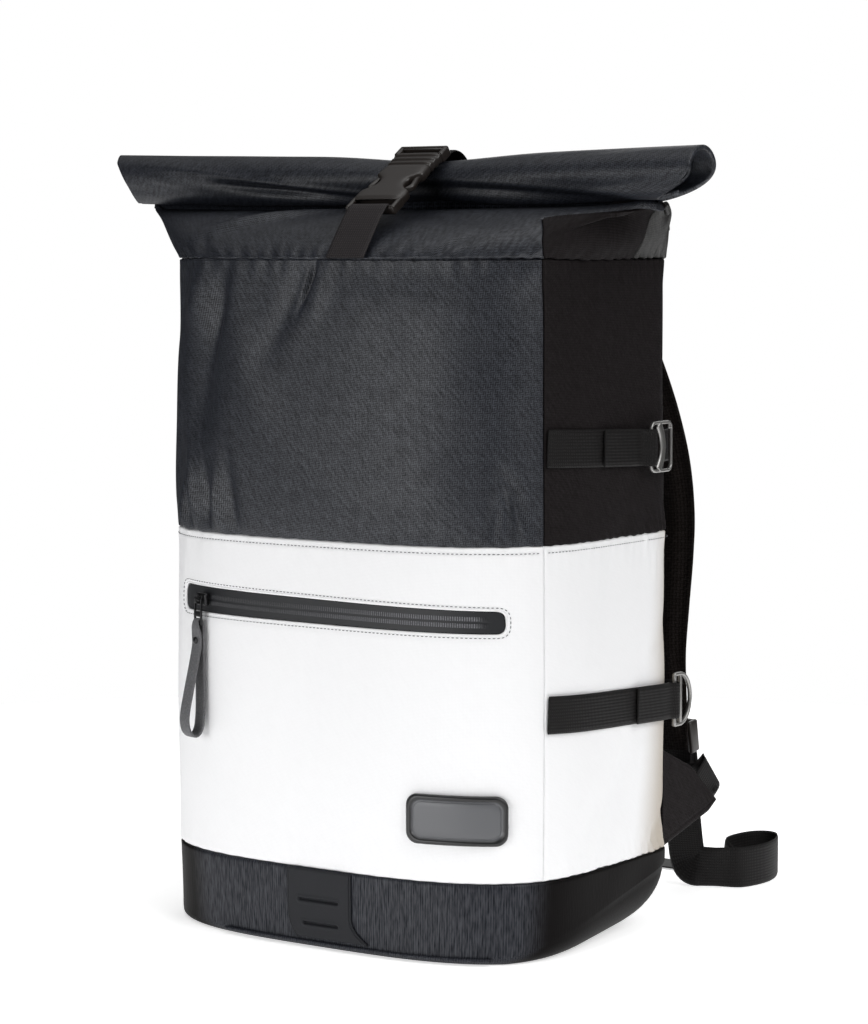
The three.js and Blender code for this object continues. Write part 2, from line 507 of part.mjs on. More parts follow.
// Badge: a moulded plate with a raised rim, bent round the front's right corner
const BADGE = { along: alongAtX(106.5), z: 96.5, halfLength: 34, halfHeight: 16.5, corner: 8, columns: 11 };
const BADGE_ROWS = [
  { inset: 16.5, lift: 0.7 }, { inset: 8, lift: 0.7 }, { inset: 0, lift: 0.7 }, { inset: 0, lift: 2.6 },
  { inset: 0.8, lift: 3.3 }, { inset: 4.4, lift: 3.3 }, { inset: 5, lift: 2.3 }, { inset: 10.5, lift: 2.3 },
  { inset: 16.5, lift: 2.3 },
];
add('badge', wallPlate({ ...BADGE, rows: BADGE_ROWS }), RUBBER);

// Side straps: webbing from the front seam along the side, round a metal plate's bar and back onto itself.
// The anchor is a tab from the back seam: polar angle, distance off the wall. The left mirrors the right.
const SIDE_STRAPS = [
  { name: 'upper', zFront: 338.5, zRear: 334, barX: 165.2, barY: 46, stitchY: -11, fitting: 'strap_hook',
    anchor: [
    { turn: 23, lift: 1.2 }, { turn: 27, lift: 1.5 }, { turn: 30, lift: 2.4 }, { turn: 33, lift: 2.8 },
    { turn: 37, lift: 3.6 }, { turn: 44, lift: 4.2 }] },
  { name: 'lower', zFront: 164.5, zRear: 157, barX: 161.2, barY: 86, stitchY: 30, fitting: 'strap_ring',
    anchor: [
    { turn: 31.5, lift: 7.8 }, { turn: 34, lift: 8.4 }, { turn: 37, lift: 8.0 }, { turn: 41, lift: 6.4 },
    { turn: 47, lift: 4.2 }] },
];
const STRAP_LIFT = { under: 1.7, over: 3.9 };
const FITTING = { thickness: 3, pocket: 1.7 };
const FOLD = [ // the webbing's way round the bar
  { rearwards: -3, outwards: -3.2 }, { rearwards: 0, outwards: -3.5 }, { rearwards: 2.5, outwards: -2.5 },
  { rearwards: 3.5, outwards: 0 }, { rearwards: 2.5, outwards: 2.5 }, { rearwards: 0, outwards: 3.5 },
  { rearwards: -3, outwards: 3.2 },
];

// Outlines of the two fittings, x rearwards from the bar's middle and y up, with the webbing's window beside
// the bar and a shallow pocket behind it.
const bowed = (y) => 6.5 * (1 - (y / 16.5) ** 2);
const edge = (from, to, at) => steps(8, (t) => [at(lerp(from, to, t)), lerp(from, to, t)]);
const bow = (x, reach, y) => steps(12, (t) => [x + reach * arch(t), y * Math.cos(Math.PI * t)]);
const FITTING_SHAPES = {
  strap_hook: {
    body: roundedRectangle(29, 35, 5),
    window: [...edge(-13.6, 13.6, () => 1.7), ...edge(13.6, -13.6, (y) => 6 + bowed(y))],
    pocket: [...edge(-13.6, 13.6, (y) => 10.6 + bowed(y)), ...edge(13.6, -13.6, () => 25.4)],
    shift: 12.8,
  },
  strap_ring: {
    body: outline([...edge(-19, 19, () => -1.7), ...bow(8, 15, 19)]),
    window: [...edge(-13.6, 13.6, () => 1.7), ...edge(13.6, -13.6, () => 6.4)],
    pocket: [...edge(-16, 16, () => 9), ...bow(9.5, 11, 16)],
    shift: 0,
  },
};
function fittingPlate({ body, window: slot, pocket, shift }) {
  const pocketCutter = plate(outline(pocket), 2 * FITTING.pocket).translate(0, 0, FITTING.thickness / 2);
  const whole = plate(body, FITTING.thickness, 4).translate(shift, 0, 0);
  return cut(whole, plate(outline(slot), 20), pocketCutter);
}
const sides = [['right', new THREE.Group()], ['left', new THREE.Group()]];
sides[1][1].scale.x = -1;
const UP = V(0, 0, 1);
for (const [side, group] of sides) {
  backpack.add(group);
  for (const strap of SIDE_STRAPS) {
    const bar = V(strap.barX, strap.barY, strap.zRear);
    const lain = (lift) => (y) => {
      const z = lerp(strap.zFront, strap.zRear, clamp((y - SEAM_Y) / (strap.barY - SEAM_Y), 0, 1));
      return { p: onWall(alongAtY(y), z, lift), across: UP };
    };
    const lastY = Math.min(strap.barY - 9, 80);
    const path = [
      ...steps(8, (t) => lerp(SEAM_Y + 4, lastY, t)).map(lain(STRAP_LIFT.under)),
      ...FOLD.map(({ rearwards, outwards }) => (
        { p: bar.clone().add(V(outwards, rearwards, 0)), across: UP })),
      ...steps(4, (t) => lerp(lastY - 2, strap.stitchY, t)).map(lain(STRAP_LIFT.over)),
    ];
    add(`side_strap_${strap.name}_${side}`, ribbon(path, WEBBING.side), BLACK_WEBBING, group);

    const barFrame = new THREE.Matrix4().makeBasis(V(0, 1, 0), UP, V(1, 0, 0)).setPosition(bar);
    const metal = fittingPlate(FITTING_SHAPES[strap.fitting]).applyMatrix4(barFrame);
    add(`${strap.fitting}_${strap.name}_${side}`, metal, GUNMETAL, group);

    const tab = strap.anchor.map(({ turn, lift }) => (
      { p: wallPoint(degToRad(turn), strap.zRear, lift), across: UP }));
    add(`fitting_anchor_${strap.name}_${side}`, ribbon(tab, WEBBING.side - 3), BLACK_WEBBING, group);
  }
}

// Shoulder straps: padded, from the top of the back panel in a wide bow down to a ladder lock
const STRAP_ROWS = [
  { x: 70, y: 104.6, z: 452, width: 62, thick: 5 },
  { x: 73, y: 113.5, z: 442, width: 64, thick: 9 },
  { x: 79, y: 127, z: 418, width: 66, thick: 12 },
  { x: 85, y: 142, z: 388, width: 66, thick: 12 },
  { x: 90, y: 157, z: 352, width: 66, thick: 12 },
  { x: 93, y: 169, z: 316, width: 65, thick: 12 },
  { x: 94, y: 176, z: 280, width: 63, thick: 12 },
  { x: 94, y: 176.5, z: 248, width: 61, thick: 12 },
  { x: 95, y: 172, z: 212, width: 58, thick: 12 },
  { x: 96, y: 169.5, z: 180, width: 54, thick: 12 },
  { x: 99, y: 170.5, z: 152, width: 48, thick: 11 },
  { x: 101, y: 174.5, z: 128, width: 42, thick: 10 },
  { x: 102, y: 178.5, z: 105, width: 35, thick: 5 },
];
const PAD_SIDES = 14;
const rounded = (v) => Math.sign(v) * Math.abs(v) ** 0.55;
function paddedStrap(rows) {
  const middle = rows.map(({ x, y, z }) => V(x, y, z)), last = rows.length - 1;
  return loft(rows.map(({ width, thick }, k) => {
    const tangent = middle[Math.min(k + 1, last)].clone().sub(middle[Math.max(k - 1, 0)]).normalize();
    const side = V(1, 0, 0).addScaledVector(tangent, -tangent.x).normalize();
    const face = tangent.clone().cross(side);
    return steps(PAD_SIDES, (t) => 2 * Math.PI * t).slice(1).map((a) => middle[k].clone()
      .addScaledVector(side, (width / 2) * rounded(Math.cos(a)))
      .addScaledVector(face, (thick / 2) * rounded(Math.sin(a))));
  }));
}

// Ladder lock: a three-bar frame on the strap's outer face
const LOCK = {
  at: V(102, 191, 115), up: V(0, -0.17, 0.985).normalize(), width: 37, height: 24, slot: 31, thickness: 4,
};
const lockFrame = new THREE.Matrix4()
  .makeBasis(V(-1, 0, 0), LOCK.up, V(-1, 0, 0).cross(LOCK.up)).setPosition(LOCK.at);
const lockShape = roundedRectangle(LOCK.width, LOCK.height, 4);
lockShape.holes.push(window(LOCK.slot / 2, -8, -2), window(LOCK.slot / 2, 2, 8));

// Wing: a folded triangle of cloth from the back's side seam; its free edge holds the adjusting webbing
const WING = { foot: V(147.5, 97, 0), along: V(0.1, 0.995, 0).normalize(), thickness: 2.6 };
const wingShape = outline([[-3.5, 120], [43, 99.5], [63, 76], [53, 69], [-3.5, 51]]);
const wingFrame = new THREE.Matrix4()
  .makeBasis(WING.along, UP, WING.along.clone().cross(UP))
  .setPosition(WING.foot);

// Adjusting webbing: sewn behind the wing's edge, folded back, up behind the lock and round its middle bar
const wingEdge = V(20, -23.5, 0).normalize().transformDirection(wingFrame);
const onWing = ({ along, z, out }) => ({ p: V(along, z, out).applyMatrix4(wingFrame), across: wingEdge });
const onLock = ({ up, out }) => ({ p: V(0, up, out).applyMatrix4(lockFrame), across: V(1, 0, 0) });
const free = ({ x, y, z, ax = 0, ay = 0, az = 0 }) => ({ p: V(x, y, z), across: V(ax, ay, az).normalize() });
const FROM_WING = [
  { along: 41, z: 77.6, out: -2.6 }, { along: 53, z: 87.7, out: -2.6 }, { along: 60.5, z: 94, out: -2.6 },
  { along: 63.6, z: 96.6, out: -4.2 }, { along: 62.6, z: 95.8, out: -6.4 }, { along: 57, z: 92, out: -8.6 },
];
const TO_LOCK = [
  { x: 128, y: 172, z: 84, ax: 0.38, ay: 0.41, az: -0.83 },
  { x: 111, y: 183, z: 82, ax: 0.85, ay: 0.2, az: -0.48 },
];
const ROUND_LOCK = [
  { up: -24, out: -4.4 }, { up: -12, out: -3.4 }, { up: -3, out: -3.3 }, { up: 2.4, out: -3.3 },
  { up: 5, out: -1.4 }, { up: 5, out: 1.4 }, { up: 2.4, out: 3.3 }, { up: -3, out: 3.3 },
  { up: -12, out: 3.5 }, { up: -22, out: 3.8 },
];

// Its long free end hangs to the floor. The right one then stands on edge in a loop, the left one lies flat
// behind the bag; ax, ay and az give the direction across the webbing.
const HANGING = [
  { x: 102, y: 200, z: 70, ax: 1 }, { x: 103, y: 202, z: 45, ax: 1 }, { x: 104, y: 205, z: 22, ax: 1 },
];
const FREE_END = {
  right: [
    { x: 105, y: 204.6, z: 9.4, ax: 1 }, { x: 106, y: 201, z: 3.3, ax: 1 }, { x: 107, y: 193, z: 1.5, ax: 1 },
    { x: 110, y: 180, z: 1.3, ax: 0.98, ay: 0.15 }, { x: 118, y: 169, z: 1.6, ax: 0.9, ay: 0.4, az: 0.05 },
    { x: 125, y: 165, z: 6.5, ax: 0.72, ay: 0.55, az: 0.4 },
    { x: 131, y: 171, z: 12.2, ax: 0.5, ay: 0.3, az: 0.78 },
    { x: 134, y: 184, z: 15.4, ax: 0.1, az: 1 }, { x: 138, y: 203, z: 15.4, az: 1 },
    { x: 143, y: 219, z: 15.4, az: 1 }, { x: 148, y: 234, z: 15.4, az: 1 },
    { x: 149, y: 251, z: 15.4, az: 1 }, { x: 145, y: 269, z: 15.4, az: 1 },
    { x: 137, y: 283.5, z: 15.4, az: 1 }, { x: 127, y: 286.2, z: 15.4, az: 1 },
    { x: 118, y: 278, z: 15.4, az: 1 },
    { x: 114, y: 260, z: 15.4, az: 1 }, { x: 115, y: 243, z: 15.6, ax: 0.1, az: 1 },
    { x: 121, y: 231, z: 14.4, ax: 0.3, ay: 0.3, az: 0.9 },
    { x: 129, y: 222, z: 12, ax: 0.5, ay: 0.4, az: 0.76 },
  ],
  left: [
    { x: 104, y: 208, z: 9, ax: 1 }, { x: 103, y: 214, z: 3.4, ax: 1 },
    { x: 101, y: 224, z: 1.4, ax: 0.95, ay: 0.3 },
    { x: 88, y: 241, z: 1.3, ax: 0.7, ay: 0.7 }, { x: 64, y: 255, z: 1.3, ax: 0.35, ay: 0.94 },
    { x: 30, y: 262, z: 1.3, ax: 0.1, ay: 1 }, { x: -20, y: 263, z: 1.3, ay: 1 },
    { x: -72, y: 261, z: 1.3, ay: 1 },
  ],
};
const fromWing = [
  ...FROM_WING.map(onWing), ...TO_LOCK.map(free), ...ROUND_LOCK.map(onLock), ...HANGING.map(free)];
for (const [side, group] of sides) {
  add(`shoulder_strap_${side}`, paddedStrap(STRAP_ROWS), PADDING, group);
  add(`ladder_lock_${side}`, plate(lockShape, LOCK.thickness, 3).applyMatrix4(lockFrame), PLASTIC, group);
  add(`strap_wing_${side}`, plate(wingShape, WING.thickness).applyMatrix4(wingFrame), BLACK_CLOTH, group);
  const webbing = ribbon([...fromWing, ...FREE_END[side].map(free)], WEBBING.shoulder);
  add(`adjust_webbing_${side}`, webbing, BLACK_WEBBING, group);
}

export default backpack;
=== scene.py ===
import math

import bmesh
import bpy
import numpy as np
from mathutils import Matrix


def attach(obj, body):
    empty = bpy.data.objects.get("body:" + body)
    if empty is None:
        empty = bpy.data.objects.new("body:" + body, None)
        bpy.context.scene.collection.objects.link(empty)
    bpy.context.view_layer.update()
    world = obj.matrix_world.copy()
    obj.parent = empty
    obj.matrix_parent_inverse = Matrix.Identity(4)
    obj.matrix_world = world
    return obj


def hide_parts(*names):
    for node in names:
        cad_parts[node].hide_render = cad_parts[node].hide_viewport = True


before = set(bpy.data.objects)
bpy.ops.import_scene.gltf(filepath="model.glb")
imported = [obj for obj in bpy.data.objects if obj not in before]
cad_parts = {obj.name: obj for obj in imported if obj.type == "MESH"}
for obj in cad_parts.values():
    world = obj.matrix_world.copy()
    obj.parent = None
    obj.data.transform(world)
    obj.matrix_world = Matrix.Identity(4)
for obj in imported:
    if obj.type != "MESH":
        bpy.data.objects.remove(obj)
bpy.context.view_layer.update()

# Studio: a camera at the photograph's place, a white floor, four soft lights, in front on the left, to the
# right, above and behind, and a dim room that is lighter overhead. The camera looks slightly down.
CAMERA_DISTANCE_M, CAMERA_BEARING, CAMERA_HEIGHT_M = 2.1048, 0.6072, 0.4629
CAMERA_HEADING, CAMERA_TILT = 0.5998, 0.0840
FOCAL_PX, FRAME_HEIGHT_PX, SENSOR_MM = 3042.1, 1024, 36
scene = bpy.context.scene
scene.view_settings.view_transform = "Standard"
camera_data = bpy.data.cameras.new("camera")
camera_data.sensor_width = SENSOR_MM
camera_data.lens = FOCAL_PX / FRAME_HEIGHT_PX * SENSOR_MM
camera = bpy.data.objects.new("camera", camera_data)
camera.location = (CAMERA_DISTANCE_M * math.sin(CAMERA_BEARING),
                   -CAMERA_DISTANCE_M * math.cos(CAMERA_BEARING), CAMERA_HEIGHT_M)
camera.rotation_euler = (math.pi / 2 - CAMERA_TILT, 0, CAMERA_HEADING)
scene.collection.objects.link(camera)
scene.camera = camera


def linear(hex_colour):
    """sRGB hex to linear RGBA: below 0.04045 a straight line, above it a power of 2.4."""
    srgb = np.array([int(hex_colour[k:k + 2], 16) for k in (1, 3, 5)]) / 255
    return (*np.where(srgb <= 0.04045, srgb / 12.92, ((srgb + 0.055) / 1.055) ** 2.4), 1.0)


def node(tree, kind, inputs=None, **settings):
    """Adds one node: settings are its properties, inputs its sockets, each a value or another's output."""
    made = tree.nodes.new("ShaderNode" + kind)
    for name, value in settings.items():
        setattr(made, name, value)
    for socket, value in (inputs or {}).items():
        if isinstance(value, bpy.types.NodeSocket):
            tree.links.new(value, made.inputs[socket])
        else:
            made.inputs[socket].default_value = value
    return made


def surface(name, build):
    """A material whose shader is the Principled node that build(tree) returns."""
    material = bpy.data.materials.new(name)
    material.use_nodes = True
    tree = material.node_tree
    tree.nodes.clear()
    node(tree, "OutputMaterial", {"Surface": build(tree).outputs[0]})
    return material


def maths(tree, operation, *values):
    """One step of arithmetic on values or outputs."""
    return node(tree, "Math", dict(enumerate(values)), operation=operation).outputs[0]


def ramp(tree, value, low, high, to_low=0.0, to_high=1.0, curve="LINEAR"):
    """Carries low..high to to_low..to_high, held at both ends, in a straight line or a smooth step."""
    spans = {"Value": value, "From Min": low, "From Max": high, "To Min": to_low, "To Max": to_high}
    return node(tree, "MapRange", spans, interpolation_type=curve).outputs[0]


def plain(name, inputs):
    """A material of one Principled shader with fixed inputs."""
    return surface(name, lambda tree: node(tree, "BsdfPrincipled", inputs))


ROOM_DARK, ROOM_LIGHT, BACKDROP_BRIGHTNESS = 0.04, 0.55, 1.0
ROOM_LIGHT_FROM, ROOM_LIGHT_EDGE = (0.1, 0.35, 0.93), 0.45
world = bpy.data.worlds.new("white_room")
world.use_nodes = True
room = world.node_tree
seen = node(room, "LightPath").outputs["Is Camera Ray"]
direction = node(room, "TexCoord").outputs["Generated"]
facing = node(room, "VectorMath", {0: direction, 1: ROOM_LIGHT_FROM}, operation="DOT_PRODUCT")
towards = facing.outputs["Value"]
room_light = ramp(room, towards, ROOM_LIGHT_EDGE, 1.0, ROOM_DARK, ROOM_LIGHT)
brightness = ramp(room, seen, 0.0, 1.0, room_light, BACKDROP_BRIGHTNESS)
background = room.nodes["Background"].inputs
background["Color"].default_value = (1.0, 1.0, 1.0, 1.0)
room.links.new(brightness, background["Strength"])
scene.world = world
LIGHTS = [  # name, place in metres, width, height, watts
    ("front_softbox", (-0.5, -2.5, 0.45), 2.0, 1.1, 29),
    ("right_softbox", (2.3, -0.2, 1.9), 2.0, 2.0, 43),
    ("top_softbox", (0.0, -0.3, 2.6), 1.8, 1.8, 13),
    ("rear_softbox", (-1.0, 2.6, 1.1), 1.4, 1.4, 14),
]
LIGHT_TARGET = np.array((0.0, 0.0, 0.3))
for light_name, place, width, height, watts in LIGHTS:
    light_data = bpy.data.lights.new(light_name, "AREA")
    light_data.shape = "RECTANGLE"
    light_data.size, light_data.size_y, light_data.energy = width, height, watts
    light = bpy.data.objects.new(light_name, light_data)
    light.location = place
    away = np.array(place) - LIGHT_TARGET
    tilt, bearing = math.atan2(math.hypot(away[0], away[1]), away[2]), math.atan2(away[0], -away[1])
    light.rotation_euler = (tilt, 0, bearing)
    scene.collection.objects.link(light)

FLOOR_RADIUS_M, FLOOR_SIDES = 1.1, 96
floor_turn = np.linspace(0, 2 * math.pi, FLOOR_SIDES, endpoint=False)
floor_rim = np.stack([np.cos(floor_turn), np.sin(floor_turn), 0 * floor_turn], -1) * FLOOR_RADIUS_M
floor_mesh = bpy.data.meshes.new("floor")
floor_mesh.from_pydata(floor_rim.tolist(), [], [list(range(FLOOR_SIDES))])
floor = bpy.data.objects.new("floor", floor_mesh)
scene.collection.objects.link(floor)
# A light table: its glow runs the floor into the white backdrop and still lets a faint shadow show.
floor_mesh.materials.append(plain("white_light_table", {
    "Base Color": linear("#fdfdfd"), "Roughness": 1.0, "Specular IOR Level": 0.0,
    "Emission Color": linear("#ffffff"), "Emission Strength": 0.55}))

# Base: a cup of black coated cloth, ribbed in front. Its front is paler and blue grey, a painted sheen, and
# round the sides and back it has a painted shade and shines less. Its bottom edge is tight at the front and
# wide at the back. Sizes from here on are in millimetres.
MM = 0.001
CLOTH = 1.6
SEAM_GAP = 0.3
BASE_TOP, BAND_TOP, RIM = 54.5, 275.0, 461.0
FRONT_POWER, BACK_POWER = 3.2, 9.0
BODY_SECTIONS = np.array([  # z, half width, front, back
    (0, 159.0, 114.0, 98.0), (54, 160.0, 115.5, 99.0), (165, 160.5, 116.5, 100.0),
    (275, 159.6, 115.5, 100.0), (380, 158.8, 114.0, 99.5), (470, 158.5, 113.0, 98.0)])
EDGE_ROUND_FRONT, EDGE_ROUND_BACK = 5.0, 46.0


def through(table, at):
    """Catmull-Rom curve through a table's rows; its first column is the place, the rest are the values."""
    at = np.clip(np.asarray(at, float), table[0, 0], table[-1, 0])
    k = np.clip(np.searchsorted(table[:, 0], at, side="right") - 1, 0, len(table) - 2)
    t = ((at - table[k, 0]) / (table[k + 1, 0] - table[k, 0]))[..., None]
    a, b = table[np.maximum(k - 1, 0), 1:], table[k, 1:]
    c, d = table[k + 1, 1:], table[np.minimum(k + 2, len(table) - 1), 1:]
    return b + t / 2 * (c - a + t * (2 * a - 5 * b + 4 * c - d + t * (3 * (b - c) + d - a)))


def wall_polar(angle, z, lift=0.0):
    """Rounded-box outline: radius = ((|cos|/w)^n + (|sin|/d)^n)^(-1/n), with its own n and d behind."""
    section = through(BODY_SECTIONS, z)
    front = np.sin(angle) < 0
    power = np.where(front, FRONT_POWER, BACK_POWER)
    across = np.abs(np.cos(angle)) / (section[..., 0] + lift)
    deep = np.abs(np.sin(angle)) / (np.where(front, section[..., 1], section[..., 2]) + lift)
    radius = (across ** power + deep ** power) ** (-1 / power)
    return np.stack(np.broadcast_arrays(radius * np.cos(angle), radius * np.sin(angle), z), -1)


ARC_STEPS = 1441
arc_angle = np.linspace(-math.pi / 2, math.pi / 2, ARC_STEPS)
arc_point = wall_polar(arc_angle, np.full(ARC_STEPS, BAND_TOP))
arc_along = np.r_[0, np.cumsum(np.linalg.norm(np.diff(arc_point, axis=0), axis=1))]
HALF_GIRTH = arc_along[-1]


def wall(along, z, lift=0.0):
    """The wall at a distance along it from the front's middle, positive to the right, and at a height."""
    along = (np.asarray(along, float) + HALF_GIRTH) % (2 * HALF_GIRTH) - HALF_GIRTH
    right = wall_polar(np.interp(np.abs(along), arc_along, arc_angle), np.asarray(z, float) + 0 * along, lift)
    return right * np.stack([np.where(along < 0, -1.0, 1.0), np.ones_like(along), np.ones_like(along)], -1)


def along_at_x(x):
    """Distance along the wall to a place across the front."""
    front = ARC_STEPS // 2 + 1
    return np.sign(x) * np.interp(abs(x), arc_point[:front, 0], arc_along[:front])


def along_at_y(y):
    """Distance along the wall to a depth on the right side."""
    return np.interp(y, arc_point[:, 1], arc_along)


def grid_faces(columns, rows, ring_columns=False, ring_rows=False):
    """Quads over a grid of points numbered column by column; a ring joins its last line to its first."""
    i = np.arange(columns if ring_columns else columns - 1)[:, None]
    j = np.arange(rows if ring_rows else rows - 1)[None, :]
    ahead, above = (i + 1) % columns, (j + 1) % rows
    corners = [i * rows + j, ahead * rows + j, ahead * rows + above, i * rows + above]
    return np.stack(np.broadcast_arrays(*corners), -1).reshape(-1, 4)


def piece(name, points, faces, uv=None, closed=True):
    """Puts points in mm and their faces into a mesh in metres.

    A closed shape's poles are merged, and its faces are turned to look out.
    """
    mesh = bpy.data.meshes.new(name)
    mesh.from_pydata((np.asarray(points).reshape(-1, 3) * MM).tolist(), [], np.asarray(faces).tolist())
    if uv is not None:
        corner = np.zeros(len(mesh.loops), np.int32)
        mesh.loops.foreach_get("vertex_index", corner)
        layer = mesh.uv_layers.new(name="cloth_mm")
        layer.data.foreach_set("uv", np.asarray(uv, np.float32).reshape(-1, 2)[corner].ravel())
    if closed:
        shape = bmesh.new()
        shape.from_mesh(mesh)
        bmesh.ops.remove_doubles(shape, verts=shape.verts, dist=1e-6)
        bmesh.ops.dissolve_degenerate(shape, edges=shape.edges, dist=1e-7)
        bmesh.ops.recalc_face_normals(shape, faces=shape.faces)
        shape.to_mesh(mesh)
        shape.free()
    mesh.polygons.foreach_set("use_smooth", np.ones(len(mesh.polygons), bool))
    made = bpy.data.objects.new(name, mesh)
    scene.collection.objects.link(made)
    return made


def fit(made, material, slot, *nodes, body="bag"):
    """Gives a piece its material, lets it ride on its body and stand for its CAD nodes. Its slot is not used.
    """
    made.data.materials.append(material)
    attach(made, body)
    if nodes:
        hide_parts(*nodes)
    return made


def thick(made, thickness):
    """Gives a sheet its cloth's thickness, inwards."""
    solidify = made.modifiers.new("cloth_thickness", "SOLIDIFY")
    solidify.thickness = thickness * MM
    solidify.offset = -1
    return made


def blend(tree, share, colour, other):
    """One colour, giving way to the other as the share goes from 0 to 1."""
    return node(tree, "Mix", {"Factor": share, 6: colour, 7: other}, data_type="RGBA").outputs[2]


def noise(tree, place, scale, detail):
    """Cloudy noise from 0 to 1, about scale times to the place's unit."""
    return node(tree, "TexNoise", {"Vector": place, "Scale": scale, "Detail": detail}).outputs["Fac"]


def bands(tree, place, pitch, direction, wander=None):
    """Stripes that follow a sine, at a pitch in the place's unit."""
    inputs = {"Vector": place, "Scale": 2 * math.pi / 20 / pitch, **(wander or {})}
    return node(tree, "TexWave", inputs, bands_direction=direction).outputs["Fac"]


def bumps(tree, height, strength, depth):
    """Shading of a relief whose depth is in mm."""
    return node(tree, "Bump", {"Height": height, "Strength": strength, "Distance": depth * MM}).outputs[0]


SLUB_TURN, SLUB_MM = 0.65, (2, 11, 1)  # slack threads show as short streaks on the slant
SHADE_DARK, SHADE_LIGHT = 0.1, 0.45


def woven(name, colour, light_colour, thread, depth, roughness, sheen, specular,
          twill=True, speckle=0.5, rear_shade=None):
    """Woven cloth on its UV map in mm: two sets of round threads, crossing in a twill or a plain order.

    Flecks and slubs break the weave up. rear_shade = (from, to, colour) paints shade into the cloth towards
    its rear.
    """
    def build(tree):
        place = node(tree, "UVMap", uv_map="cloth_mm").outputs[0]
        if twill:
            over = bands(tree, place, 2 * thread, "DIAGONAL")
        else:
            over = node(tree, "TexChecker", {"Vector": place, "Scale": 1 / thread}).outputs["Fac"]
        warp = bands(tree, place, thread, "X")
        weft = bands(tree, place, thread, "Y")
        weave = node(tree, "Mix", {"Factor": over, 2: warp, 3: weft}).outputs[0]
        fleck = noise(tree, place, 0.6 / thread, 2)
        mixed = node(tree, "Mix", {"Factor": speckle, 2: weave, 3: fleck}).outputs[0]
        turned = {"Vector": place, "Rotation": (0, 0, SLUB_TURN), "Scale": SLUB_MM}
        slub = noise(tree, node(tree, "Mapping", turned, vector_type="TEXTURE").outputs[0], 1.0, 3)
        shade = maths(tree, "MULTIPLY", mixed, ramp(tree, slub, 0.3, 0.7, 0.4, 0.62))
        dye = node(tree, "ValToRGB", {"Fac": shade})
        for stop, at, tone in zip(dye.color_ramp.elements, (SHADE_DARK, SHADE_LIGHT), (colour, light_colour)):
            stop.position = at
            stop.color = linear(tone)
        dyed = dye.outputs[0]
        # Painted shade: the colour goes over to a greyer, warmer tone towards the cloth's rear.
        if rear_shade:
            rear_shade_from, rear_shade_to, rear_shade_colour = rear_shade
            apart = node(tree, "SeparateXYZ", {0: place}).outputs
            rearwards = maths(tree, "MULTIPLY_ADD", apart[1], -0.12, maths(tree, "ABSOLUTE", apart[0]))
            dyed = blend(tree, ramp(tree, rearwards, rear_shade_from, rear_shade_to, curve="SMOOTHSTEP"),
                         dyed, linear(rear_shade_colour))
        cloud = noise(tree, place, 0.035, 4)
        return node(tree, "BsdfPrincipled", {
            "Base Color": dyed, "Roughness": ramp(tree, cloud, 0.0, 1.0, roughness - 0.05, roughness + 0.07),
            "Normal": bumps(tree, weave, 0.6, depth),
            "Sheen Weight": sheen, "Sheen Roughness": 0.45, "Sheen Tint": linear("#aab2c4"),
            "Specular IOR Level": ramp(tree, shade, SHADE_DARK, SHADE_LIGHT, 0.3 * specular, 1.7 * specular)})
    return surface(name, build)


# The real threads are about 0.5 mm. They are drawn at 1.1 mm, because finer ribs vanish at this distance.
# Front twill: near black in the weave's hollows and blue grey on its ribs, with a dull sheen.
front_twill = woven("black_polyester_twill", "#030304", "#2b2f39", 1.1, 0.08, 0.5, 0.0, 0.52)
# Gusset cloth: flatter and browner than the twill.
gusset_cloth = woven("black_gusset_cloth", "#0c0b0a", "#1d1c1a", 1.1, 0.06, 0.5, 0.0, 0.4, twill=False)
# Side nylon: evenly dark from every side, because it hardly shines.
side_nylon = woven("black_side_nylon", "#161313", "#1f1b1c", 1.1, 0.15, 0.62, 0.01, 0.09, twill=False)
ROUND_FROM_Y, ROUND_OVER_Y = -85, 180


def base_round(angle):
    """Round of the bottom edge, growing from the front to the back."""
    y = wall_polar(angle, np.zeros_like(angle))[..., 1]
    rearwards = np.clip((y - ROUND_FROM_Y) / ROUND_OVER_Y, 0, 1)
    return EDGE_ROUND_FRONT + (EDGE_ROUND_BACK - EDGE_ROUND_FRONT) * rearwards ** 0.9


def on_base(angle, slope, lift=0.0):
    """The bottom edge's quarter round: slope 0 on the upright wall, 90 degrees on the flat underside."""
    size = base_round(angle)
    inwards = size - (size + lift) * np.cos(slope)
    z = size - (size + lift) * np.sin(slope)
    return wall_polar(angle, 0 * z, -inwards) * (1, 1, 0) + z[..., None] * np.array((0, 0, 1.0))


# The painted shade of the sides and back begins this far round from the ribs' middle.
RIB_MM, RIB_MIDDLE, SIDE_SHADE_FROM, SIDE_SHADE_TO = 1.7, 28, 122, 150  # the ribs fade this far from their middle


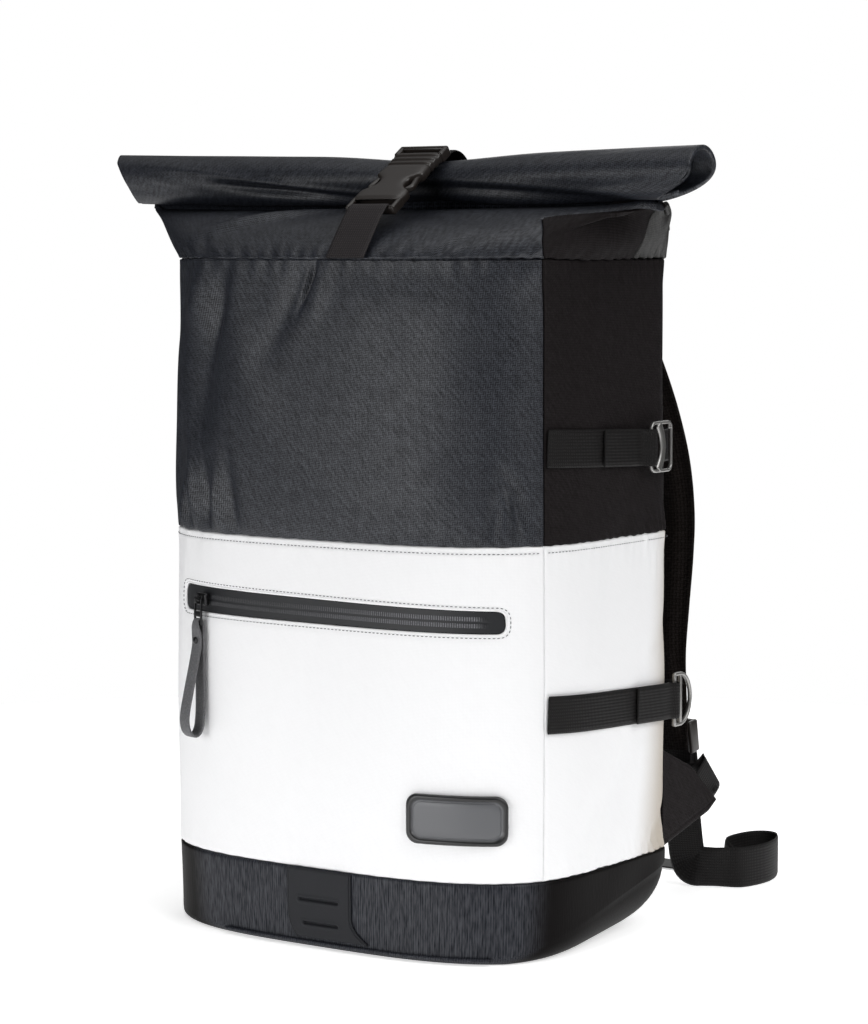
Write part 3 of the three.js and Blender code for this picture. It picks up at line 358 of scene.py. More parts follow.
def ribbed_twill(tree):
    """Base cloth: upright ribs show on the front and wander a little; the front's paler blue grey is a
    painted sheen, and round the sides and back the colour goes to a painted shade with less shine.
    """
    place = node(tree, "UVMap", uv_map="cloth_mm").outputs[0]
    apart = node(tree, "SeparateXYZ", {0: place}).outputs
    away = maths(tree, "MULTIPLY_ADD", apart[1], -0.4, apart[0])
    dull_shaded_sides = ramp(tree, away, SIDE_SHADE_FROM, SIDE_SHADE_TO, curve="SMOOTHSTEP")
    rib = bands(tree, place, RIB_MM, "X", {"Distortion": 2.0, "Detail": 2, "Detail Scale": 0.05})
    thread = node(tree, "Mix", {"Factor": 0.82, 2: rib, 3: noise(tree, place, 0.7, 2)}).outputs[0]
    stretch = node(tree, "Mapping", {"Vector": place, "Scale": (0.9, 0.3, 1)}).outputs[0]
    patch = ramp(tree, noise(tree, stretch, 1.0, 3), 0.3, 0.7, 0.5, 0.95)
    shade = maths(tree, "MULTIPLY", thread, patch)
    # Painted sheen: the ribbed front is paler and blue grey.
    ribbed_sheen_colour = blend(tree, shade, linear("#07080a"), linear("#31343f"))
    rib_shine = ramp(tree, shade, 0.2, 0.5, 0.1, 0.5)
    # Painted shade: round the sides and back the colour goes near black, and the shine drops.
    return node(tree, "BsdfPrincipled", {
        "Base Color": blend(tree, dull_shaded_sides, ribbed_sheen_colour, linear("#0a0808")), "Roughness": 0.5,
        "Specular IOR Level": ramp(tree, dull_shaded_sides, 0.0, 1.0, rib_shine, 0.06),
        "Normal": bumps(tree, shade, 0.5, 0.3)})


base_twill = surface("black_ribbed_base_twill", ribbed_twill)
BASE_COLUMNS, BASE_UPRIGHT_ROWS, BASE_ROUND_ROWS, BASE_THICK = 420, 26, 14, 2.0
BASE_SLACK, BASE_TURNED_IN, BASE_TURN_REACH = 0.35, 1.3, 1.6
UNDERSIDE_RINGS = (0.75, 0.4, 0.0)  # shares of the flat underside's outline
base_along = np.linspace(-HALF_GIRTH, HALF_GIRTH, BASE_COLUMNS, endpoint=False)
base_angle = np.interp(np.abs(base_along), arc_along, arc_angle)
mirror = np.where(base_along < 0, -1.0, 1.0)
base_size = base_round(base_angle)
rise = np.linspace(1, 0, BASE_UPRIGHT_ROWS)[None, :-1]
upright_z = base_size[:, None] + (BASE_TOP - SEAM_GAP / 2 - base_size[:, None]) * rise
slack = BASE_SLACK * np.sin(base_along / 17 + 1.2 * np.sin(base_along / 43))[:, None]
slack = slack * np.sin(math.pi * rise) ** 0.5
turned_in = -BASE_TURNED_IN * np.clip(1 - (BASE_TOP - upright_z) / BASE_TURN_REACH, 0, 1) ** 2
upright = wall_polar(base_angle[:, None] + 0 * rise, upright_z, slack + turned_in)
slopes = np.linspace(0, math.pi / 2, BASE_ROUND_ROWS)[None, :]
rounded = on_base(base_angle[:, None] + 0 * slopes, slopes + 0 * base_angle[:, None])
flat = rounded[:, -1:, :]
underside = flat * np.stack([(s, s, 1.0) for s in UNDERSIDE_RINGS])[None]
base_points = np.concatenate([upright, rounded, underside], 1)
base_points[..., 0] *= mirror[:, None]
base_down = np.r_[0, np.cumsum(np.linalg.norm(np.diff(base_points[0], axis=0), axis=1))]
base_uv = np.stack(np.broadcast_arrays(np.abs(base_along - RIB_MIDDLE)[:, None], -base_down[None, :]), -1)
base = piece("base_cloth", base_points, grid_faces(*base_points.shape[:2], ring_columns=True), base_uv)
thick(base, BASE_THICK)
fit(base, base_twill, "base_cloth", "base_tub")

# Piping: a cord covered in the base's cloth and let into the front's bottom edge. It ends short of the right
# corner.
PIPING_FROM, PIPING_TO, PIPING_RADIUS, PIPING_GAP, PIPING_SLOPE = -78, 132, 1.3, 0.25, math.radians(10)


def sweep(path, across, profile, ring=False):
    """Carries a profile (side, face) along a path: side lies across, face is square to it and to the run."""
    ahead = np.roll(path, -1, 0) if ring else np.r_[path[1:], path[-1:]]
    behind = np.roll(path, 1, 0) if ring else np.r_[path[:1], path[:-1]]
    run = ahead - behind
    run /= np.linalg.norm(run, axis=1, keepdims=True)
    side = across - (across * run).sum(1, keepdims=True) * run
    side /= np.linalg.norm(side, axis=1, keepdims=True)
    face = np.cross(run, side)
    profile = np.broadcast_to(profile, (len(path), *np.shape(profile)[-2:]))
    return path[:, None] + side[:, None] * profile[..., :1] + face[:, None] * profile[..., 1:]


def swept(name, path, across, profile, ring=False, uv=None):
    """A closed body: the swept profile, with its two ends drawn in to their middles."""
    if ring:
        points = sweep(path, across, profile, True)
        return piece(name, points, grid_faces(len(path), points.shape[1], True, True), uv)
    points = sweep(path, across, profile)
    ends = [points[[k]].mean(1, keepdims=True) + 0 * points[[k]] for k in (0, -1)]
    points = np.concatenate([ends[0], points, ends[1]])
    if uv is not None:
        uv = np.concatenate([uv[:1], uv, uv[-1:]])
    return piece(name, points, grid_faces(len(points), points.shape[1], False, True), uv)


def signed_power(value, power):
    """A power that keeps the sign: sign(v) times |v| to the power."""
    return np.sign(value) * np.abs(value) ** power


def ellipse(half_side, half_face, count=12, power=2.0):
    """Superellipse profile: power 2 is an ellipse, higher is boxier."""
    turn = np.linspace(0, 2 * math.pi, count, endpoint=False)
    outline = np.stack([np.cos(turn), np.sin(turn)], -1)
    return signed_power(outline, 2 / power) * (half_side, half_face)


piping_along = np.linspace(PIPING_FROM, PIPING_TO, 120)
piping_angle = np.interp(np.abs(piping_along), arc_along, arc_angle)
piping_path = on_base(piping_angle, np.full_like(piping_along, PIPING_SLOPE), PIPING_RADIUS + PIPING_GAP)
piping_path[:, 0] *= np.sign(piping_along)
piping_round = ellipse(PIPING_RADIUS, PIPING_RADIUS)
piping_uv = np.stack(np.broadcast_arrays(piping_along[:, None], np.linspace(0, 8, len(piping_round))), -1)
piping_across = np.tile((0.0, 0.0, 1.0), (len(piping_along), 1))
piping = swept("base_piping_cord", piping_path, piping_across, piping_round, uv=piping_uv)
fit(piping, base_twill, "base_cloth", "base_piping")

# Light tab: a matt rubber patch over the base's front with two slits for a clip-on light. Its side edges are
# bound in a fine cord that bends to the right at the foot.
TAB_ALONG, TAB_HALF, TAB_TOP, TAB_FOOT, TAB_LIFT, TAB_THICK = 5.0, 25.0, 53.6, 7.0, 0.8, 1.5
TAB_SLITS = [(33.0, 15.0), (17.0, 13.0)]  # height, half length
LIP_HIGH, LIP_OFF, LIP_WIDE, SLIT_DEEP, SLIT_WIDE = 0.35, 2.2, 0.8, 1.9, 0.9
TAB_SIDE_ROUND, TAB_END_ROUND, TAB_CORD_RADIUS, TAB_CORD_OFF, TAB_CORD_LIFT = 1.5, 1.2, 0.8, 0.4, 1.0
FOOT_RUN_LEFT, FOOT_RUN_RIGHT, FOOT_RUN_FROM, FOOT_RUN_OVER = 7.0, 13.0, 24, 17


def grained(name, colour, roughness, scale, detail, strength, depth, more):
    """A moulded surface: one colour under a fine grain, which breaks up the light on its edges."""
    def build(tree):
        grain = noise(tree, node(tree, "TexCoord").outputs["Object"], scale, detail)
        return node(tree, "BsdfPrincipled", {"Base Color": linear(colour), "Roughness": roughness,
                                             "Normal": bumps(tree, grain, strength, depth), **more})
    return surface(name, build)


def foot_run(z):
    """How far a height is along the bend at the tab's foot: nought above it, 1 at its end."""
    return np.clip((FOOT_RUN_FROM - z) / FOOT_RUN_OVER, 0, 1) ** 2.2


# Matt rubber: dark grey, with soft light along its lips.
moulded_rubber = grained("moulded_matt_rubber", "#1c1d21", 0.7, 1400, 3, 0.35, 0.2,
                         {"Specular IOR Level": 0.3})
tab_u, tab_v = np.meshgrid(np.linspace(-1, 1, 121), np.linspace(TAB_FOOT, TAB_TOP, 111), indexing="ij")
edge_in = np.clip((1 - np.abs(tab_u)) * TAB_HALF / TAB_SIDE_ROUND, 0, 1)
end_in = np.clip(np.minimum(tab_v - TAB_FOOT, TAB_TOP - tab_v) / TAB_END_ROUND, 0, 1)
crown = np.sqrt(1 - (1 - edge_in) ** 2) * np.sqrt(1 - (1 - end_in) ** 2)
slit = np.zeros_like(tab_u)
lip = np.zeros_like(tab_u)
for slit_z, slit_half in TAB_SLITS:
    past = np.maximum(np.abs(tab_u * TAB_HALF) - slit_half, 0)
    off = np.hypot(past, tab_v - slit_z)
    slit += np.exp(-(off / SLIT_WIDE) ** 4)
    lip += np.exp(-((off - LIP_OFF) / LIP_WIDE) ** 2)
tab_lift = TAB_LIFT + TAB_THICK * crown + LIP_HIGH * lip - SLIT_DEEP * slit
tab_bend = FOOT_RUN_LEFT + (FOOT_RUN_RIGHT - FOOT_RUN_LEFT) * (tab_u + 1) / 2
tab_along = TAB_ALONG + tab_u * TAB_HALF + foot_run(tab_v) * tab_bend
tab = piece("light_tab_rubber", wall(tab_along, tab_v, tab_lift), grid_faces(*tab_u.shape),
            np.stack([tab_along, tab_v], -1), closed=False)
fit(tab, moulded_rubber, "rubber", "light_tab")


def on_wall_line(along, z, lift):
    """Points of a line on the wall, and the wall's outward direction at each."""
    points = wall(along, z, lift)
    return points, (wall(along, z, lift + 1.0) - points)


for edge_name, edge_side, edge_run in (("left", -1, FOOT_RUN_LEFT), ("right", 1, FOOT_RUN_RIGHT)):
    seam_z = np.linspace(TAB_TOP - 0.5, TAB_FOOT, 60)
    seam_along = TAB_ALONG + edge_side * (TAB_HALF + TAB_CORD_OFF) + edge_run * foot_run(seam_z)
    seam_path, seam_out = on_wall_line(seam_along, seam_z, TAB_CORD_LIFT)
    seam_round = ellipse(TAB_CORD_RADIUS, TAB_CORD_RADIUS, 8)
    seam = swept(f"light_tab_edge_{edge_name}", seam_path, seam_out, seam_round)
    fit(seam, moulded_rubber, "rubber")

# White band, front: one piece of white coated cloth with the zip's slot in it. Its edges are turned in. The
# slot and the upper edge are top-stitched with grey thread.
ZIP_LEFT, ZIP_RIGHT, ZIP_Z, ZIP_SLOPE, ZIP_HALF = along_at_x(-122), along_at_x(135), 227.5, -0.012, 7.75
ZIP_TAPER, ZIP_END_POWER = 0.09, 2.9  # taller at the left; the ends are squarer than half circles
SLOT_GAP, SLOT_STITCH, BAND_STITCH, STITCH_VALLEY = 0.4, 2.7, 4.2, 0.9
BAND_SLACK, SLOT_VALLEY, BAND_VALLEY, BAND_GATHER = 0.45, 0.5, 0.35, 0.22
SEAM_Y = -66
FRONT_SEAM = along_at_y(SEAM_Y)
zip_middle, zip_reach = (ZIP_LEFT + ZIP_RIGHT) / 2, (ZIP_RIGHT - ZIP_LEFT) / 2
band_bottom, band_top = BASE_TOP + SEAM_GAP / 2, BAND_TOP - SEAM_GAP / 2
FOLDS = np.array([  # along, z, turn in degrees, half length, half width, depth
    (-18, 432, 62, 42, 9, 4.0), (-130, 318, 84, 44, 10, 4.0), (-96, 300, 70, 34, 11, 3.0),
    (62, 428, 118, 36, 12, 3.0), (196, 420, 80, 44, 14, 4.5), (236, 248, 62, 34, 10, 3.5),
    (246, 100, 66, 44, 11, 4.5), (212, 84, 58, 30, 9, 3.0)])


def fold_depth(along, z, table):
    """Soft valleys in the cloth: a bell across the fold's width, with a low swell beside it all along."""
    total = np.zeros(np.broadcast(along, z).shape)
    for fold_along, fold_z, turn, half_length, half_width, depth in table:
        c, s = math.cos(math.radians(turn)), math.sin(math.radians(turn))
        lengthways = ((along - fold_along) * c + (z - fold_z) * s) / half_length
        sideways = (-(along - fold_along) * s + (z - fold_z) * c) / half_width
        bell = np.exp(-sideways ** 2) - 0.25 * np.exp(-(sideways / 2.2) ** 2)
        total += depth * np.exp(-lengthways ** 2) * bell
    return total


def slack_cloth(along, z):
    """Low waves of cloth that hangs a little slack: three sines of long wavelength that wander."""
    return (0.55 * np.sin(along / 31 + 1.1 * np.sin(z / 47))
            + 0.45 * np.sin(z / 26 + 1.3 * np.sin(along / 39) + 1)
            + 0.25 * np.sin((along + z) / 13 + 2.0))


def edge_turn(distance, reach=1.3, depth=1.2):
    """A cloth edge turned in: a quarter round within reach of the edge."""
    inside = np.clip(1 - np.maximum(distance, 0) / reach, 0, 1)
    return -depth * (1 - np.sqrt(1 - inside ** 2 * 0.999))


def edge_steps(low, high, step, fine=(0, 0, 0.25, 0.6, 1.0, 1.4)):
    """Places from low to high at about a step, closer at both ends; each end twice, for its allowance."""
    middle = np.linspace(low + 3, high - 3, max(int((high - low - 6) / step), 2))
    return np.r_[low + np.array(fine), middle, high - np.array(fine)[::-1]]


LAP_OUT, LAP_IN = 3.0, 3.5


def lapped(along, z):
    """Seam allowance: a grid's outermost lines run on past the seam, and this far in behind its neighbour."""
    along[[0, -1]] += np.array((-LAP_OUT, LAP_OUT))[:, None]
    z[:, [0, -1]] += np.array((-LAP_OUT, LAP_OUT))
    return np.pad(np.zeros((along.shape[0] - 2, along.shape[1] - 2)), 1, constant_values=-LAP_IN)


def puckers(along, z, seam_z, reach, height, pitch):
    """Small gathers that run square to a seam and die away from it."""
    wander = np.sin(2 * math.pi * along / pitch + 2.2 * np.sin(along / 23)) + 0.5 * np.sin(along / 4.1 + 1)
    return height * wander * np.exp(-((z - seam_z) / reach) ** 2)


# Coated cloth: an even, soft white in which the weave hardly shows.
WHITE = dict(colour="#efeff0", light_colour="#f6f6f7", thread=0.9, depth=0.05, roughness=0.50, sheen=0.05,
             specular=0.4, twill=False, speckle=0.2)
white_coated = woven("white_coated_polyester", **WHITE)
SLOT_HALF = ZIP_HALF + SLOT_GAP
half_front = FRONT_SEAM - SEAM_GAP / 2
SIDE_STEPS, LEVEL_STEPS = 60, 190
level = np.linspace(-1, 1, LEVEL_STEPS + 1)[:-1]
upright_step = np.linspace(1, -1, SIDE_STEPS + 1)[:-1]
band_middle, band_half = (band_bottom + band_top) / 2, (band_top - band_bottom) / 2
outer_ring = np.concatenate([  # along the top to the right, down, back along the bottom, up
    np.stack([level * half_front, np.full(LEVEL_STEPS, band_top)], -1),
    np.stack([np.full(SIDE_STEPS, half_front), band_middle + upright_step * band_half], -1),
    np.stack([-level * half_front, np.full(LEVEL_STEPS, band_bottom)], -1),
    np.stack([np.full(SIDE_STEPS, -half_front), band_middle - upright_step * band_half], -1)])
straight = zip_reach + SLOT_GAP - SLOT_HALF
ends = np.stack([np.cos(math.pi / 2 * upright_step), np.sin(math.pi / 2 * upright_step)], -1)
ends = SLOT_HALF * signed_power(ends, 2 / ZIP_END_POWER)
inner_ring = np.concatenate([
    np.stack([level * straight, np.full(LEVEL_STEPS, SLOT_HALF)], -1), ends + (straight, 0),
    np.stack([-level * straight, np.full(LEVEL_STEPS, -SLOT_HALF)], -1), -ends - (straight, 0)])
inner_ring[:, 1] *= 1 - ZIP_TAPER * inner_ring[:, 0] / zip_reach
inner_z = ZIP_Z + ZIP_SLOPE * inner_ring[:, 0] + inner_ring[:, 1]
inner_ring = np.stack([zip_middle + inner_ring[:, 0], inner_z], -1)
outwards = np.r_[0, 0.002, 0.005, 0.009, 0.014, np.linspace(0.02, 0.985, 70), 0.990, 0.994, 0.997, 1, 1]
band_ring = inner_ring[:, None] + (outer_ring - inner_ring)[:, None] * outwards[None, :, None]
band_a, band_z = band_ring[..., 0], band_ring[..., 1]
to_edge = np.minimum(np.minimum(band_top - band_z, band_z - band_bottom), half_front - np.abs(band_a))
to_slot = np.linalg.norm(band_ring - inner_ring[:, None], axis=-1)
band_lift = (BAND_SLACK * slack_cloth(band_a, band_z)
             * np.clip(to_edge / 25, 0, 1) * np.clip(to_slot / 20, 0, 1)
             - fold_depth(band_a, band_z, FOLDS) + edge_turn(to_edge) + edge_turn(to_slot)
             - SLOT_VALLEY * np.exp(-((to_slot - SLOT_STITCH) / STITCH_VALLEY) ** 2)
             - BAND_VALLEY * np.exp(-((band_top - band_z - BAND_STITCH) / STITCH_VALLEY) ** 2)
             + puckers(band_a, band_z, band_top, 9, BAND_GATHER, 11)
             + puckers(band_a, band_z, band_bottom, 9, BAND_GATHER, 13))
band_lift[:, -1] -= LAP_IN
band_a[:, -1] *= 1 + LAP_OUT / half_front
band_z[:, -1] += LAP_OUT * (band_z[:, -1] - band_middle) / band_half
band_faces = grid_faces(len(outer_ring), len(outwards), True)
band_front = piece("white_front_cloth", wall(band_a, band_z, band_lift), band_faces, band_ring, closed=False)
fit(thick(band_front, CLOTH), white_coated, "white_cloth", "lower_front_panel")


def stitch_row(name, path, normal, pitch=3.0, length=1.9, radius=0.28):
    """Short threads along a line: one small capsule grid at each stitch, along the line and on the cloth."""
    run = np.r_[0, np.cumsum(np.linalg.norm(np.diff(path, axis=0), axis=1))]
    at = np.arange(pitch / 2, run[-1], pitch)

    def read(values, places):
        return np.stack([np.interp(places, run, values[:, k]) for k in range(3)], -1)
    middle, out = read(path, at), read(normal, at)
    ahead = read(path, at + 0.4) - read(path, at - 0.4)
    ahead /= np.linalg.norm(ahead, axis=1, keepdims=True)
    out -= (out * ahead).sum(1, keepdims=True) * ahead
    out /= np.linalg.norm(out, axis=1, keepdims=True)
    side = np.cross(ahead, out)
    reach = np.array((-1.0, -0.86, -0.45, 0.45, 0.86, 1.0)) * length / 2
    girth = np.array((0.0, 0.6, 1.0, 1.0, 0.6, 0.0)) * radius
    turn = np.linspace(0, 2 * math.pi, 6, endpoint=False)
    round_it = girth[:, None, None] * np.stack([np.cos(turn), np.sin(turn)], -1)
    local = np.concatenate([np.broadcast_to(reach[:, None, None], (*round_it.shape[:2], 1)), round_it], -1)
    axes = np.stack([ahead, side, out], 1)
    points = middle[:, None] + np.einsum("gk,nkc->ngc", local.reshape(-1, 3), axes)
    faces = grid_faces(*local.shape[:2], False, True)
    all_faces = faces[None] + (np.arange(len(at)) * len(reach) * len(turn))[:, None, None]
    return piece(name, points, all_faces.reshape(-1, 4))


# Thread: matt grey, so that the stitches read as fine dots on the white.
grey_thread = plain("grey_polyester_thread", {"Base Color": linear("#55565a"), "Roughness": 0.6})
slot_stitch = np.concatenate([inner_ring, inner_ring[:1]])
slot_centre = np.stack([np.clip(slot_stitch[:, 0], zip_middle - straight, zip_middle + straight),
                        np.full(len(slot_stitch), ZIP_Z)], -1)
slot_centre[:, 1] += ZIP_SLOPE * (slot_centre[:, 0] - zip_middle)
slot_away = slot_stitch - slot_centre
slot_stitch = slot_centre + slot_away * (1 + SLOT_STITCH / SLOT_HALF)
stitch_path, stitch_out = on_wall_line(slot_stitch[:, 0], slot_stitch[:, 1], 0.2)
fit(stitch_row("zip_slot_stitches", stitch_path, stitch_out), grey_thread, "white_cloth")
band_line = np.linspace(-half_front + 3, half_front - 3, 400)
stitch_path, stitch_out = on_wall_line(band_line, np.full(400, band_top - BAND_STITCH), 0.3)
fit(stitch_row("band_front_stitches", stitch_path, stitch_out), grey_thread, "white_cloth")

# White band, sides: a panel each side from the front's seam to the back's seam, a little slack towards the
# rear, gathered along its upper and lower seams. It rounds in at the back seam.
SIDES = (("right", 1), ("left", -1))
REAR_SEAM = np.interp(math.radians(33), arc_angle, arc_along)
REAR_DROP, REAR_ROUND, REAR_FLAT, SIDE_SLACK = 6.0, 34.0, 40.0, 0.6
SIDE_FOLDS = np.array([  # gathers and slack folds of the rear half, right side
    (292, 262, 92, 16, 3.0, 1.4), (301, 258, 88, 20, 2.6, 1.68), (311, 262, 95, 16, 2.8, 1.4),
    (321, 254, 90, 24, 3.2, 1.96), (333, 258, 84, 20, 3.0, 1.82), (318, 212, 66, 26, 6.5, 3.36),
    (338, 196, 74, 30, 6.0, 4.76), (300, 200, 50, 24, 8.0, 1.68), (330, 92, 52, 34, 6.5, 5.04),
    (312, 78, 46, 26, 5.5, 3.64), (336, 70, 58, 18, 4.0, 1.96), (296, 66, 62, 14, 4.0, 1.4),
    (283, 63, 74, 10, 3.0, 0.98)])
side_from, side_to = FRONT_SEAM + SEAM_GAP / 2, REAR_SEAM - SEAM_GAP / 2
# The same white with painted shade: greyer and warmer near the back seam, where it turns out of the light.
white_side_painted_shade = woven("white_coated_polyester_side_painted_shade",
                          rear_shade=(REAR_SEAM - 76, REAR_SEAM - 34, "#b9b0a4"), **WHITE)


def side_panel(name, bottom, top, sign, folds, gather):
    """A sewn panel of the wall on a grid of distance and height, with turned edges, folds and gathers."""
    along = edge_steps(side_from, side_to, 1.8)
    z = edge_steps(bottom, top, 1.8)
    a, h = np.meshgrid(along, z, indexing="ij")
    lap = lapped(a, h)
    to_edge = np.minimum(np.minimum(a - side_from, side_to - a), np.minimum(h - bottom, top - h))
    rear = np.clip(1 - (side_to - a) / 100, 0, 1) ** 1.5
    lift = (SIDE_SLACK * slack_cloth(a * sign, h) * np.clip(to_edge / 22, 0, 1)
            - fold_depth(a * sign, h, folds) * np.clip((side_to - a) / REAR_FLAT, 0, 1) ** 2
            + edge_turn(to_edge) + puckers(a, h, top, 13, gather * (1 + 3 * rear), 10)
            + puckers(a + h / 3, h, bottom, 13, gather * (1 + 4 * rear), 9)
            - REAR_DROP * np.clip(1 - (side_to - a) / REAR_ROUND, 0, 1) ** 2 + lap)
    faces = grid_faces(len(along), len(z))
    uv = np.stack([a * sign, h], -1)
    made = piece(name, wall(a * sign, h, lift), faces if sign > 0 else faces[:, ::-1], uv, closed=False)
    return thick(made, CLOTH)


for side, sign in SIDES:
    side_folds = SIDE_FOLDS * (sign, 1, sign, 1, 1, 1) + (0, 0, 90 - 90 * sign, 0, 0, 0)
    white_side = side_panel(f"white_side_cloth_{side}", band_bottom, band_top, sign,
                            np.concatenate([FOLDS, side_folds]), 0.35)
    fit(white_side, white_side_painted_shade, "white_cloth", f"lower_side_panel_{side}")
    line = np.linspace(side_from + 2, side_to - 2, 200)
    stitch_path, stitch_out = on_wall_line(line * sign, np.full(200, band_top - BAND_STITCH), 0.35)
    fit(stitch_row(f"band_side_stitches_{side}", stitch_path, stitch_out), grey_thread, "white_cloth")

# Black upper part: a twill front and smoother sides, sewn to the band below and to the collar above. The
# cloth is slack, with a sharp crease under the strap and soft upright folds at the lower left.
upper_bottom, upper_top = BAND_TOP + SEAM_GAP / 2, RIM - SEAM_GAP / 2
UPPER_BULGE = 7.0  # fullest low down
FRONT_SLACK, SHARED_FOLDS, OWN_FOLDS = 0.9, 0.55, 2.1
UPPER_FOLDS = np.array([  # as above; a depth below zero is a swell
    (-4, 445, 69, 15, 2.2, 2.8), (6, 442, 74, 18, 7, -1.2), (-108, 432, 82, 24, 12, -2.6),
    (-86, 424, 76, 30, 8, 2.4), (-100, 372, 86, 46, 18, 3.0), (-58, 404, 112, 46, 16, -1.4),
    (-108, 302, 100, 24, 4.5, -2.0), (-79, 296, 97, 18, 4, -2.0), (-124, 288, 98, 12, 3, -1.6),
    (-94, 300, 98, 22, 4.5, 2.2), (-117, 294, 98, 16, 3, 1.6), (-66, 300, 98, 26, 6, 1.8),
    (150, 300, 100, 24, 6, 1.8), (134, 296, 76, 20, 5, 1.4), (142, 316, 120, 14, 5, 1.2),
    (120, 356, 76, 50, 20, 0.5), (-145, 436, 80, 26, 10, 1.6), (95, 455, 0, 70, 20, 2.2)])
front_a, front_h = np.meshgrid(edge_steps(-half_front, half_front, 1.8),
                               edge_steps(upper_bottom, upper_top, 1.8), indexing="ij")
front_lap = lapped(front_a, front_h)
front_edge = np.minimum(np.minimum(front_h - upper_bottom, upper_top - front_h), half_front - np.abs(front_a))
front_rise = np.clip((front_h - upper_bottom) / (upper_top - upper_bottom), 0, 1)
front_belly = (np.sin(math.pi * front_rise ** 0.55)
               * np.cos(math.pi / 2 * np.clip(front_a / half_front, -1, 1)))
front_lift = (FRONT_SLACK * slack_cloth(front_a, front_h) * np.clip(front_edge / 25, 0, 1)
              - SHARED_FOLDS * fold_depth(front_a, front_h, FOLDS)
              - OWN_FOLDS * fold_depth(front_a, front_h, UPPER_FOLDS)
              + edge_turn(front_edge) + UPPER_BULGE * front_belly
              + puckers(front_a, front_h, upper_top, 10, 0.4, 14)
              + puckers(front_a, front_h, upper_bottom, 10, 0.25, 15) + front_lap)
upper_front = piece("black_front_cloth", wall(front_a, front_h, front_lift), grid_faces(*front_a.shape),
                    np.stack([front_a, front_h], -1), closed=False)
fit(thick(upper_front, CLOTH), front_twill, "black_cloth", "upper_front_panel")
for side, sign in SIDES:
    upper_side = side_panel(f"black_side_cloth_{side}", upper_bottom, upper_top, sign, FOLDS, 0.3)
    fit(upper_side, side_nylon, "black_cloth", f"upper_side_panel_{side}")

# Zip: a coated tape in the slot, its nylon coil closed in two low rows along the middle, which stop short of
# the slot's ends.
COIL_PITCH, COIL_ROW, COIL_HALF, COIL_HIGH, COIL_GROOVE = 1.6, 2.2, 1.4, 0.3, 0.12
ZIP_SUNK, COIL_STOP, COIL_FADE, GROOVE_STOP, GROOVE_FADE, GROOVE_WIDE = 1.25, 10, 4, 8, 3, 0.3
zip_u = np.linspace(-1, 1, 1301)
zip_v = np.linspace(-1, 1, 41)
zip_t = zip_reach * zip_u
zip_past = np.clip((np.abs(zip_t) - (zip_reach - ZIP_HALF)) / ZIP_HALF, 0, 1)
zip_h = ZIP_HALF * (1 - zip_past ** ZIP_END_POWER) ** (1 / ZIP_END_POWER) * (1 - ZIP_TAPER * zip_u)
zip_up = zip_h[:, None] * zip_v[None]
row_off = np.abs(np.abs(zip_up) - COIL_ROW)
coil_turns = (zip_t[:, None] + 0.25 * COIL_PITCH * np.sign(zip_up)) / COIL_PITCH
tooth = 0.55 + 0.45 * np.cos(2 * math.pi * coil_turns)
to_end = zip_reach - np.abs(zip_t[:, None])
coil = np.clip(1 - (row_off / COIL_HALF) ** 2, 0, 1) ** 0.5 * (0.1 + 0.9 * tooth)
coil *= np.clip((to_end - COIL_STOP) / COIL_FADE, 0, 1)
groove = np.exp(-(zip_up / GROOVE_WIDE) ** 2) * np.clip((to_end - GROOVE_STOP) / GROOVE_FADE, 0, 1)
zip_lift = COIL_HIGH * coil - COIL_GROOVE * groove - ZIP_SUNK
zip_along = zip_middle + zip_t[:, None] + 0 * zip_up
zip_z = ZIP_Z + ZIP_SLOPE * zip_t[:, None] + zip_up


def coated_zip(tree):
    """Zip tape on its UV map in mm from its middle: a matt coating, paler over the coil towards the right."""
    place = node(tree, "UVMap", uv_map="cloth_mm").outputs[0]
    apart = node(tree, "SeparateXYZ", {0: place}).outputs
    turn = bands(tree, place, COIL_PITCH, "X")
    row = maths(tree, "COMPARE", maths(tree, "ABSOLUTE", apart[1]), COIL_ROW, COIL_HALF)
    inside = ramp(tree, maths(tree, "ABSOLUTE", apart[0]), zip_reach - 20, zip_reach - 14, 1.0, 0.0)
    # The coil's rows turn paler towards the right, in stripes at the coil's pitch.
    paler_rightwards = maths(tree, "MULTIPLY", inside, ramp(tree, apart[0], -40, 70, 0.12, 0.75))
    grit = noise(tree, place, 0.9, 3)
    pale = maths(tree, "MULTIPLY", maths(tree, "MULTIPLY", maths(tree, "MULTIPLY", row, paler_rightwards), turn), grit)
    return node(tree, "BsdfPrincipled", {
        "Base Color": blend(tree, pale, linear("#1a1b1e"), linear("#a0a0a6")), "Roughness": 0.5,
        "Specular IOR Level": 0.4, "Normal": bumps(tree, grit, 0.25, 0.15)})


coated_tape = surface("coated_zip_tape", coated_zip)
zip_uv = np.stack(np.broadcast_arrays(zip_t[:, None], zip_up), -1)
zip_piece = piece("zip_coated_tape", wall(zip_along, zip_z, zip_lift), grid_faces(*zip_up.shape), zip_uv,
                  closed=False)
fit(zip_piece, coated_tape, "zip_tape", "zip_tape")

# Badge: a moulded rubber plate with a raised rim round a plain sunk field, bent round the right corner.
BADGE_ALONG, BADGE_Z, BADGE_HALF, BADGE_TALL, BADGE_CORNER = along_at_x(106.5), 96.5, 34.0, 16.5, 8.0
RIM_TO, FIELD_FROM = 3.0, 3.9
BADGE_PROFILE = np.array([  # inset from the edge, height off the wall
    (0.3, 0.5), (0.0, 0.9), (0.0, 2.2), (0.2, 2.8), (0.8, 3.3), (1.5, 3.6), (2.2, 3.6), (2.9, 3.3),
    (3.6, 2.5), (4.0, 2.0), (4.3, 1.9), (4.7, 2.35), (5.3, 2.5), (8.0, 2.5), (11.0, 2.5), (14.0, 2.5),
    (16.5, 2.5)])


